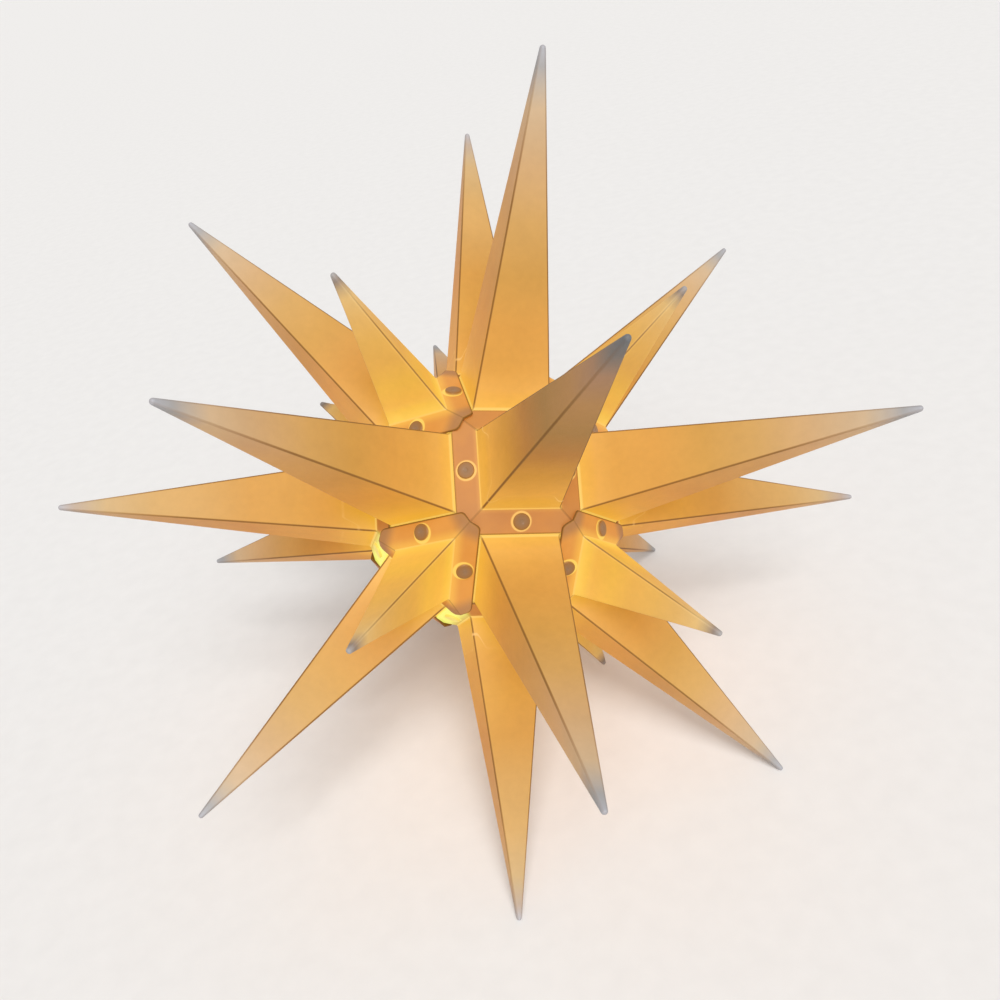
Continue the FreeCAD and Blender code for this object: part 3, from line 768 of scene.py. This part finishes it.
# Painted light: a head's side, lit by light creeping out under it, and heads beside the bulb,
# where its light is strongest.
RIVET_SIDE_LIGHT, RIVET_BULB_LIGHT = "#D0A55C", "#FFE874"
FACE_WIDTH, FACE_WANDER = 5.2, 1.6              # mm: its last colour, and how uneven it is


def cube_directions(kind):
    """Directions to a cube's faces (1), edges (2) or corners (3), as rows."""
    every = np.array([(x, y, z) for x in (-1, 0, 1) for y in (-1, 0, 1) for z in (-1, 0, 1)])
    return every[np.abs(every).sum(axis=1) == kind].astype(float)


def rivet_frames():
    """Centre on the strip's upper plane, and the three axes, of each of the 48 rivets, in mm."""
    sizes, edges = bpy.context.scene.star_sizes, cube_directions(2)
    frames = []
    for kind, name in ((1, "square"), (3, "triangle")):
        height, inradius, from_fold = in_mm(
            sizes, name + "_fold_height", name + "_fold_inradius", "rivet_from_fold")
        tilt = getattr(sizes, name + "_strip_tilt")
        for direction in cube_directions(kind):
            nearness = edges @ direction
            for neighbour in edges[nearness > nearness.max() - 0.5]:
                axis, side = towards(direction, neighbour)
                centre = (axis * (height - from_fold * math.sin(tilt))
                          + side * (inradius + from_fold * math.cos(tilt)))
                normal = axis * math.cos(tilt) + side * math.sin(tilt)
                along = side * math.cos(tilt) - axis * math.sin(tilt)
                frames.append((centre, along, np.cross(normal, along), normal))
    return frames


def rounded_profile(corners, steps=4):
    """Radius and height along a profile whose marked corners are rounded by circle arcs.

    Each corner is (radius, height, rounding). An arc of the rounding replaces the corner,
    tangent to both straight runs.
    """
    points = np.array([corner[:2] for corner in corners], float)
    result = [points[:1]]
    for before, corner, after, (_, _, rounding) in zip(
            points, points[1:], points[2:], corners[1:]):
        if not rounding:
            result.append(corner[None])
            continue
        back, ahead = ((end - corner) / np.linalg.norm(end - corner) for end in (before, after))
        half = math.acos(float(np.clip(back @ ahead, -1.0, 1.0))) / 2.0
        middle = (back + ahead) / np.linalg.norm(back + ahead)
        centre = corner + middle * rounding / math.sin(half)
        start, end = (corner + run * rounding / math.tan(half) - centre for run in (back, ahead))
        share = np.linspace(0.0, 1.0, steps + 1)[:, None]
        sweep = math.pi - 2.0 * half
        arc = (np.sin((1.0 - share) * sweep) * start + np.sin(share * sweep) * end)
        result.append(centre + arc / math.sin(sweep))
    result.append(points[-1:])
    return np.concatenate(result)


def turned_grid(profile, segments):
    """Profile turned about Z: x, y = radius times cosine and sine of the angle, z = height."""
    angle = np.linspace(0.0, 2.0 * math.pi, segments, endpoint=False)
    radius, height = profile[:, :1], profile[:, 1:]
    return np.stack([radius * np.cos(angle), radius * np.sin(angle),
                     np.broadcast_to(height, (len(profile), segments))], axis=-1)


def rivet_polypropylene():
    """Solid white polypropylene, injection moulded: too thick to let the lamp's light through.

    It gives the eye a flat greyish disc, browner at its rim where light creeps in, with stains
    3 mm wide. Half its colour glows as painted light, and its side and the heads beside the bulb
    are painted brighter.
    """
    material, put = new_material("moulded_polypropylene_rivet")
    radius, height, lit_most = (
        put(ATTRIBUTE, output="Fac", attribute_name=name)
        for name in ("turned_radius", "turned_height", "beside_bulb"))
    stains = put(NOISE, {"Vector": put(POSITION, output="Object"), "Scale": 350.0, "Detail": 3.0})
    wander = put(MATH, [stains, FACE_WANDER, -FACE_WANDER / 2.0], operation="MULTIPLY_ADD")
    share = put(MATH, [radius, wander], operation="ADD")
    share = put(MATH, [share, FACE_WIDTH], operation="DIVIDE", use_clamp=True)
    colour = put(RAMP, [share], stops=RIVET_FACE)
    # painted light on the head's side and on heads beside the bulb
    on_side = put(RANGE, [height, 1.25, 0.6, 0.0, 1.0])
    for share, other in ((on_side, RIVET_SIDE_LIGHT), (lit_most, RIVET_BULB_LIGHT)):
        colour = put(MIX, {0: share, 6: colour, 7: other}, data_type="RGBA")
    # painted light: the head glows with half its colour, besides the room light it throws back
    base, lamp = (put(VECTOR, {0: colour, "Scale": level}, operation="SCALE")
                  for level in (0.45, 0.5))
    finish_surface(put, {
        "Base Color": base, "Roughness": 0.42, "IOR": 1.49, "Specular IOR Level": 0.4,
        "Emission Color": lamp, "Emission Strength": 1.0}, stains, strength=0.3, depth=0.05)
    return material


class STAR_OT_rivets(Operator):
    """Make the 48 push rivets, their heads slightly dished in the middle"""
    bl_idname = "star.rivets"
    bl_label = "Push rivets"

    def execute(self, context):
        profile = rounded_profile(RIVET_PROFILE)
        own = turned_grid(profile, RIVET_SEGMENTS)
        grids = [centre + own @ np.array(axes) for centre, *axes in rivet_frames()]
        radius, height = (np.tile(np.repeat(profile[:, column], RIVET_SEGMENTS), len(grids))
                          for column in (0, 1))
        # how far into the bulb's strongest light each rivet lies, for its painted light
        lit_most = (np.stack(grids) @ HOT_DIRECTION - RIVET_HOT_FROM) / RIVET_HOT_OVER
        piece = solid_piece("push_rivets", [to_frame(grid) for grid in grids],
                            turned_radius=radius, turned_height=height,
                            beside_bulb=np.clip(lit_most, 0.0, 1.0).ravel())
        place_piece(piece, rivet_polypropylene(), "rivets")
        return {"FINISHED"}


# ---- lamp fitting ------------------------------------------------------------------------
LAMP_DIRECTION = (0.0, -1 / ROOT_2, -1 / ROOT_2)    # to the tucked place that the plate fills
# Heights of the nipple, the nut and the grip are from the plate's outer face, and those of the
# shell and the bulb from the star's centre, outwards. All in mm.
NIPPLE_REACH, NIPPLE_BORE_RADIUS = (-18.4, 9.0), 3.7
THREAD_DEPTH, THREAD_CLEARANCE = 0.6, 0.1
NUT_FOOT, NUT_TOP, NUT_CHAMFER = -5.4, -2.4, 0.35
SHELL_ENDS, SHELL_WALL, ROLLED_DEPTH = (34.5, 57.5), 0.6, 0.4
CAP_TOP, CAP_FOOT = 54.9, 33.9
GLOBE_CENTRE, NECK_FROM, NECK_SLOPE = 1.4, 10.0, 0.371
NO_CONE = -1000.0               # radius so far in that only the globe's circle counts
TURNED_SEGMENTS = 64

# Radius and height above the plate of the grip's corners, with their rounding. The last run
# is the bore, from the nose back down to the socket on the nipple.
GRIP_PROFILE = (
    (5.1, 0.0, 0), (8.0, 0.0, 0.3), (8.5, 0.8, 0.2), (8.5, 9.4, 0.6), (7.3, 11.0, 0.5),
    (5.7, 11.2, 0.4), (4.9, 17.0, 0.5), (4.2, 18.0, 0.3), (3.3, 18.0, 0.3), (3.3, 9.1, 0),
    (5.1, 9.1, 0), (5.1, 0.0, 0))
GRIP_RADIUS, FLUTE_FLOOR, FLUTE_DEPTH, FLUTE_ENDS = 8.5, 7.4, 0.7, (1.2, 9.2)


def on_lamp_axis(grid):
    """A grid about Z, heights in mm from the star's centre, laid on the lamp's axis."""
    axis, first = np.array(LAMP_DIRECTION), np.array((1.0, 0.0, 0.0))
    return to_frame(grid @ np.array((first, np.cross(axis, first), axis)))


def refined(profile, step):
    """The same profile with points added along its runs, none further apart than the step."""
    profile = np.asarray(profile, float)
    lengths = np.linalg.norm(np.diff(profile, axis=0), axis=1)
    run = np.concatenate([[0.0], np.cumsum(lengths)])
    marks = np.union1d(run, np.arange(0.0, run[-1], step))
    return np.stack([np.interp(marks, run, profile[:, column]) for column in (0, 1)], axis=1)


def tube(inner, outer, low, high):
    """Closed profile of a plain tube: up its outside and back down its bore."""
    return [(inner, low), (outer, low), (outer, high), (inner, high), (inner, low)]


def polar(grid):
    """Radius, angle and height of each point of a turned grid."""
    x, y, height = np.moveaxis(grid, -1, 0)
    return np.hypot(x, y), np.arctan2(y, x), height


def pulled_in(grid, depth):
    """Moves each point towards the axis: x and y times one minus depth over radius."""
    radius = np.maximum(polar(grid)[0], 1e-6)
    plan = grid[..., :2] * (1.0 - depth / radius)[..., None]
    return np.concatenate([plan, grid[..., 2:]], axis=-1)


def between(values, low, high, blend):
    """1 where the values lie between low and high, falling to 0 over the blend at each end."""
    return np.clip(np.minimum(values - low, high - values) / blend, 0.0, 1.0)


def rolled_thread(grid, pitch, depth, low, high):
    """Rolled thread: depth times half of (1 - cos(2 pi height / pitch - angle)), faded out."""
    _, angle, height = polar(grid)
    wave = (1.0 - np.cos(2.0 * math.pi * height / pitch - angle)) / 2.0
    return pulled_in(grid, depth * wave * between(height, low, high, pitch))


def worn_metal(name, bright, dull, rough):
    """Plated or drawn metal, rolled or turned: a soft sheen, cloudy stains and fine draw lines.

    It gives the eye a satin metal with stains 5 mm wide. The draw lines are 0.6 mm wide, coarser
    than real ones, so that they show.
    """
    material, put = new_material(name)
    position = put(POSITION, output="Object")
    stains = put(NOISE, {"Vector": position, "Scale": 220.0, "Detail": 4.0})
    fine = put(NOISE, {"Vector": position, "Scale": 1800.0, "Detail": 2.0})
    finish_surface(put, {
        "Base Color": put(RAMP, [stains], stops=((0.35, dull), (0.62, bright))),
        "Metallic": 1.0, "Roughness": put(RANGE, [stains, 0.3, 0.7, rough + 0.12, rough])},
        fine, strength=0.2)
    return material


def moulded_plastic(name, pale, dark, rough):
    """Thermoplastic or thermoset, injection moulded: faint flow clouds and a fine eroded grain.

    It gives the eye a plain pale plastic with a soft highlight. The clouds are 11 mm wide, and
    the grain 0.7 mm, coarser than a real one, so that it shows.
    """
    material, put = new_material(name)
    position = put(POSITION, output="Object")
    flow = put(NOISE, {"Vector": position, "Scale": 90.0, "Detail": 3.0})
    grain = put(NOISE, {"Vector": position, "Scale": 1500.0, "Detail": 2.0})
    finish_surface(put, {
        "Base Color": put(RAMP, [flow], stops=((0.3, dark), (0.7, pale))), "IOR": 1.53,
        "Roughness": put(RANGE, [grain, 0.3, 0.7, rough, rough + 0.1])}, grain)
    return material


def lit_opal_glass():
    """Opal glass, blown: white through and lit from inside.

    It gives the eye an even warm glow with a clear highlight, a little deeper at the neck.
    """
    material, put = new_material("opal_glass_lit")
    height = put(ATTRIBUTE, output="Fac", attribute_name="turned_height")
    clouds = put(NOISE, {"Vector": put(POSITION, output="Object"), "Scale": 60.0, "Detail": 2.0})
    place = put(MATH, [clouds, 8.0, height], operation="MULTIPLY_ADD")
    place = put(RANGE, [place, -10.0, 38.0, 0.0, 1.0])
    glow = put(RAMP, [place], stops=((0.0, "#FFF0CF"), (0.6, "#FFE9BC"), (1.0, "#E9B872")))
    finish_surface(put, {"Base Color": "#8A867E", "Roughness": 0.15, "IOR": 1.52,
                         "Emission Color": glow, "Emission Strength": 0.8})
    return material


class STAR_OT_lamp_plate(Operator):
    """Dress the lamp plate, which fills the twelfth tucked place"""
    bl_idname = "star.lamp_plate"
    bl_label = "Lamp plate"

    def execute(self, context):
        plastic = LitPolypropylene("lit_polypropylene_plate", "edge", PLATE_GLOW)
        plastic.near_bulb()
        plastic.tucked_collar()
        plastic.fold_line()
        plastic.edge_shade_lines(on_wall=0.0)     # a flat plate has only its collar's creases
        plastic.holder_shadow()
        dress(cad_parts["lamp_plate"], plastic.finished())
        return {"FINISHED"}


class STAR_OT_lamp_holder(Operator):
    """Dress the lamp holder's shell, its insulating insert and the centre contact"""
    bl_idname = "star.lamp_holder"
    bl_label = "Lamp holder"

    def execute(self, context):
        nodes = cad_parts
        dress(nodes["lamp_holder"],
              moulded_plastic("white_pbt_moulded", "#E6E3DB", "#DAD6CB", 0.38))
        dress(nodes["holder_insert"],
              moulded_plastic("urea_resin_moulded", "#CFC8B6", "#BDB49E", 0.5))
        dress(nodes["centre_contact"],
              worn_metal("brass_strip_bent", "#D2AC5C", "#B08A3C", 0.25))
        return {"FINISHED"}


class STAR_OT_nipple(Operator):
    """Make the hollow threaded tube that holds the plate, the holder and the cord grip"""
    bl_idname = "star.nipple"
    bl_label = "Threaded nipple"

    def execute(self, context):
        plate, pitch, diameter = in_mm(
            context.scene.lamp_sizes, "plate_height", "nipple_pitch", "nipple_diameter")
        low, high = (plate + end for end in NIPPLE_REACH)
        outer, bore = diameter / 2.0, NIPPLE_BORE_RADIUS
        grid = turned_grid(refined(tube(bore, outer, low, high), pitch / 6.0), 36)
        # Cut thread: the depth falls and rises evenly once a turn, on the outside only.
        radius, angle, height = polar(grid)
        turns = height / pitch - angle / (2.0 * math.pi)
        wave = np.abs(2.0 * (turns - np.floor(turns)) - 1.0)
        outside = np.clip((radius - bore) / (outer - bore), 0.0, 1.0)
        grid = pulled_in(grid, THREAD_DEPTH * outside * np.maximum(
            wave, 1.0 - between(height, low, high, pitch)))
        piece = solid_piece("threaded_nipple", [on_lamp_axis(grid)])
        place_piece(piece, worn_metal("zinc_plated_steel", "#B9BABD", "#9FA1A5", 0.3),
                    "nipple")
        return {"FINISHED"}


class STAR_OT_lock_nut(Operator):
    """Make the hexagon lock nut, its corners chamfered on both faces"""
    bl_idname = "star.lock_nut"
    bl_label = "Lock nut"

    def execute(self, context):
        plate, across, thread = in_mm(
            context.scene.lamp_sizes, "plate_height", "nut_across_flats", "nipple_diameter")
        low, high = plate + NUT_FOOT, plate + NUT_TOP
        flat, bore = across / 2.0, thread / 2.0 + THREAD_CLEARANCE
        corner = flat / math.cos(math.radians(30.0))
        profile = [(bore, low), (flat, low), (corner, low), (corner, high), (flat, high),
                   (bore, high), (bore, low)]
        grid = turned_grid(refined(profile, 0.25), 72)
        # The hexagon's radius is flat / cos(angle from the middle of the nearest side). Towards
        # each face a cone of 30 degrees cuts its corners off.
        radius, angle, height = polar(grid)
        side = flat / np.cos(np.mod(angle, math.pi / 3.0) - math.pi / 6.0)
        from_face = np.minimum(height - low, high - height)
        cone = flat - NUT_CHAMFER + from_face * math.tan(math.radians(60.0))
        grid = pulled_in(grid, radius - np.minimum(radius, np.minimum(side, cone)))
        piece = solid_piece("hexagon_nut", [on_lamp_axis(grid)])
        place_piece(piece, worn_metal("zinc_plated_nut", "#B4B5B8", "#989A9E", 0.34),
                    "lock_nut")
        return {"FINISHED"}


class STAR_OT_cord_grip(Operator):
    """Make the fluted cord grip on the nipple's outer end"""
    bl_idname = "star.cord_grip"
    bl_label = "Cord grip"

    def execute(self, context):
        sizes = context.scene.lamp_sizes
        plate, diameter = in_mm(sizes, "plate_height", "grip_diameter")
        grid = turned_grid(refined(rounded_profile(GRIP_PROFILE), 0.6), 8 * sizes.grip_flutes)
        # Flutes: shallow grooves along the side, as the square of half of (1 + cosine).
        radius, angle, height = polar(grid)
        groove = ((1.0 + np.cos(sizes.grip_flutes * angle)) / 2.0) ** 2
        outside = np.clip(radius - FLUTE_FLOOR, 0.0, 1.0)
        grid = pulled_in(grid, FLUTE_DEPTH * groove * outside * between(height, *FLUTE_ENDS, 0.8))
        grid = grid * (diameter / (2.0 * GRIP_RADIUS), diameter / (2.0 * GRIP_RADIUS), 1.0)
        grid += (0.0, 0.0, plate)
        piece = solid_piece("fluted_grip", [on_lamp_axis(grid)])
        place_piece(piece, moulded_plastic("white_nylon_moulded", "#E8E5DE", "#DDD9CF", 0.4),
                    "cord_grip")
        return {"FINISHED"}


class STAR_OT_screw_shell(Operator):
    """Make the lamp holder's brass screw shell with its rolled thread"""
    bl_idname = "star.screw_shell"
    bl_label = "Screw shell"

    def execute(self, context):
        cap, pitch = in_mm(context.scene.lamp_sizes, "cap_diameter", "cap_pitch")
        inner = cap / 2.0 + THREAD_CLEARANCE
        profile = refined(tube(inner, inner + SHELL_WALL, *SHELL_ENDS), 0.35)
        grid = rolled_thread(turned_grid(profile, TURNED_SEGMENTS), pitch, ROLLED_DEPTH,
                             *SHELL_ENDS)
        piece = solid_piece("threaded_shell", [on_lamp_axis(grid)], THREAD_SHARP_DEGREES)
        place_piece(piece, worn_metal("brass_sheet_rolled", "#D6B062", "#B8924A", 0.22),
                    "screw_shell")
        return {"FINISHED"}


def globe_profile(globe, cap):
    """Radius and height of the globe and its neck, from the pole to the lid inside the cap.

    The radius is a circle about the globe's centre, softly joined to the neck's cone: half of
    (circle + cone + root of (their difference squared + 1)).
    """
    height = GLOBE_CENTRE - globe * np.cos(np.linspace(0.0, math.pi, 64))
    height = np.concatenate([height[height < NECK_FROM + 2.0],
                             np.linspace(NECK_FROM + 2.0, CAP_FOOT, 32)])
    circle = np.sqrt(np.maximum(globe ** 2 - (height - GLOBE_CENTRE) ** 2, 0.0))
    cone = np.where(height < NECK_FROM, NO_CONE, cap - 0.2 + NECK_SLOPE * (CAP_FOOT - height))
    radius = (circle + cone + np.hypot(circle - cone, 1.0)) / 2.0
    radius[0] = 0.0
    return np.concatenate([np.stack([radius, height], axis=1),
                           [(cap - 0.5, CAP_FOOT + 0.6), (0.0, CAP_FOOT + 0.6)]])


class STAR_OT_bulb(Operator):
    """Make the bulb: opal globe, threaded cap, and the insulator round its contact"""
    bl_idname = "star.bulb"
    bl_label = "Bulb"

    def execute(self, context):
        cap, pitch, globe = in_mm(
            context.scene.lamp_sizes, "cap_diameter", "cap_pitch", "globe_diameter")
        cap, globe = cap / 2.0, globe / 2.0
        profile = globe_profile(globe, cap)
        piece = solid_piece(
            "opal_globe", [on_lamp_axis(turned_grid(profile, TURNED_SEGMENTS))],
            THREAD_SHARP_DEGREES, turned_height=np.repeat(profile[:, 1], TURNED_SEGMENTS))
        place_piece(piece, lit_opal_glass(), "bulb")

        # Cap: a lid, a skirt, the rolled thread, a shoulder, and the soldered contact.
        lid = np.array([(0.0, CAP_FOOT), (cap - 0.6, CAP_FOOT)])
        skirt = refined(rounded_profile((
            (cap - 0.6, CAP_FOOT, 0), (cap, CAP_FOOT - 0.6, 0.3), (cap, CAP_TOP - 3.2, 0.5),
            (cap - 1.6, CAP_TOP - 1.6, 0.2), (0.0, CAP_TOP - 1.6, 0))), 0.35)
        contact = rounded_profile((
            (0.0, CAP_TOP, 0), (1.4, CAP_TOP, 0.5), (2.2, CAP_TOP - 0.5, 0.2),
            (2.2, CAP_TOP - 1.2, 0), (0.0, CAP_TOP - 1.2, 0)))
        insulator = rounded_profile((
            (0.0, CAP_TOP - 1.5, 0), (cap - 2.0, CAP_TOP - 1.6, 0),
            (cap - 2.6, CAP_TOP - 0.9, 0.3), (2.0, CAP_TOP - 0.7, 0), (0.0, CAP_TOP - 0.7, 0)))
        lid, skirt, contact, insulator = (
            turned_grid(shape, TURNED_SEGMENTS) for shape in (lid, skirt, contact, insulator))
        skirt = rolled_thread(skirt, pitch, ROLLED_DEPTH, CAP_FOOT + 2.0, CAP_TOP - 3.0)
        piece = solid_piece("screw_cap", [on_lamp_axis(np.concatenate([lid, skirt])),
                                          on_lamp_axis(contact)], THREAD_SHARP_DEGREES)
        place_piece(piece, worn_metal("nickel_plated_brass", "#C9C6C0", "#AAA79F", 0.2),
                    "bulb")
        piece = solid_piece("cap_insulator", [on_lamp_axis(insulator)])
        place_piece(piece, moulded_plastic("black_glass_pressed", "#1D1B1E", "#121113", 0.12),
                    "bulb")
        return {"FINISHED"}


# ---- the stage ---------------------------------------------------------------------------
FLOOR_HALF = 30.0                       # m: far enough for its edge to lie out of the picture
ROOM_LEVEL, WINDOW_LEVEL = 0.40, 0.90   # of a white wall: from all sides, and facing the window
WINDOW_FROM = (0.05, -0.72, 0.80)       # direction that the window's light comes from
WINDOW_SPREAD = math.radians(35.0)      # a wide window, so that shadows are soft
CAMERA_PLACE = (-0.0384, -0.5275, 0.5250)
CAMERA_AZIMUTH, CAMERA_PITCH, CAMERA_ROLL = (
    math.radians(degrees) for degrees in (3.51, 37.72, -12.86))
LENS, SENSOR, CAMERA_SHIFT = 34.12, 36.0, 0.08


def ground(half):
    """Flat square grid: x and y run evenly from minus half to half, at height zero."""
    x, y = np.meshgrid(np.linspace(-half, half, 3), np.linspace(-half, half, 3))
    return np.stack([x, y, np.zeros_like(x)], axis=-1)


def matt_painted_floor():
    """Wood board, painted matt white: it gives the eye a plain pale ground, barely mottled."""
    material, put = new_material("matt_painted_floor")
    mottle = put(NOISE, {"Vector": put(POSITION, output="Object"), "Scale": 60.0, "Detail": 3.0})
    tone = put(RAMP, [mottle], stops=((0.3, "#E6E4E2"), (0.7, "#E9E7E5")))
    finish_surface(put, {"Base Color": tone, "Roughness": 0.8})
    return material


def soft_studio():
    """A plain room: its own colour wherever it is looked at, reflected or looked through."""
    world = bpy.data.worlds.new("soft_studio")
    world.use_nodes = True
    world.node_tree.nodes.clear()
    put = partial(add, world.node_tree)
    soft = put("ShaderNodeBackground", {"Color": "#FFFFFF", "Strength": ROOM_LEVEL})
    seen = put("ShaderNodeBackground", {"Color": "#ECEBE9", "Strength": 1.0})
    paths = put("ShaderNodeLightPath").node.outputs
    direct = paths["Is Camera Ray"]
    for ray in ("Is Glossy Ray", "Is Transmission Ray"):
        direct = put(MATH, [direct, paths[ray]], operation="MAXIMUM")
    put("ShaderNodeOutputWorld", {"Surface": put("ShaderNodeMixShader", [direct, soft, seen])})
    return world


class STAR_OT_stage(Operator):
    """Lay the floor, light it softly and set the camera"""
    bl_idname = "star.stage"
    bl_label = "Stage"

    def execute(self, context):
        scene = context.scene
        floor = linked("floor", *grid_mesh(ground(FLOOR_HALF), closes=False))
        dress(floor, matt_painted_floor())
        scene.world = soft_studio()

        lamp = bpy.data.lights.new("window_light", "SUN")
        lamp.energy, lamp.angle = math.pi * WINDOW_LEVEL, WINDOW_SPREAD
        window = bpy.data.objects.new("window_light", lamp)
        window.rotation_euler = Vector(WINDOW_FROM).to_track_quat("Z", "Y").to_euler()

        camera = bpy.data.objects.new("camera", bpy.data.cameras.new("camera"))
        look = Vector((math.sin(CAMERA_AZIMUTH) * math.cos(CAMERA_PITCH),
                       math.cos(CAMERA_AZIMUTH) * math.cos(CAMERA_PITCH),
                       -math.sin(CAMERA_PITCH)))
        roll = Quaternion((0.0, 0.0, 1.0), CAMERA_ROLL)
        camera.rotation_mode = "QUATERNION"
        camera.rotation_quaternion = look.to_track_quat("-Z", "Y") @ roll
        camera.location = CAMERA_PLACE
        camera.data.lens, camera.data.sensor_width = LENS, SENSOR
        camera.data.shift_y = CAMERA_SHIFT
        for item in (window, camera):
            scene.collection.objects.link(item)
        scene.camera = camera
        scene.view_settings.view_transform = "Standard"
        return {"FINISHED"}


# ---- panel and running -------------------------------------------------------------------
STEPS = (STAR_OT_square_points, STAR_OT_tucked_points, STAR_OT_triangular_points,
         STAR_OT_rivets, STAR_OT_lamp_plate, STAR_OT_lamp_holder, STAR_OT_nipple,
         STAR_OT_lock_nut, STAR_OT_cord_grip, STAR_OT_screw_shell, STAR_OT_bulb, STAR_OT_stage)


GROUPS = {"star_sizes": StarSizes, "lamp_sizes": LampSizes, "star_colours": StarColours}


class STAR_PT_sidebar(Panel):
    """Lists the star's pieces and sizes in the 3D view's sidebar"""
    bl_label = "Moravian star"
    bl_space_type = "VIEW_3D"
    bl_region_type = "UI"
    bl_category = "Star"

    def draw(self, context):
        for step in STEPS:
            self.layout.operator(step.bl_idname)
        for name, group in GROUPS.items():
            for key in group.__annotations__:
                self.layout.prop(getattr(context.scene, name), key)


CLASSES = (*GROUPS.values(), *STEPS, STAR_PT_sidebar)


def register():
    """Registers the classes, and hangs the groups of sizes and colours on the scene."""
    for item in CLASSES:
        bpy.utils.register_class(item)
    for name, group in GROUPS.items():
        setattr(bpy.types.Scene, name, PointerProperty(type=group))


def unregister():
    """Takes away what register added."""
    for name in GROUPS:
        delattr(bpy.types.Scene, name)
    for item in reversed(CLASSES):
        bpy.utils.unregister_class(item)


def main():
    """Dresses the whole star."""
    register()
    for step in STEPS:
        group, call = step.bl_idname.split(".")
        getattr(getattr(bpy.ops, group), call)()


if __name__ == "__main__":
    main()
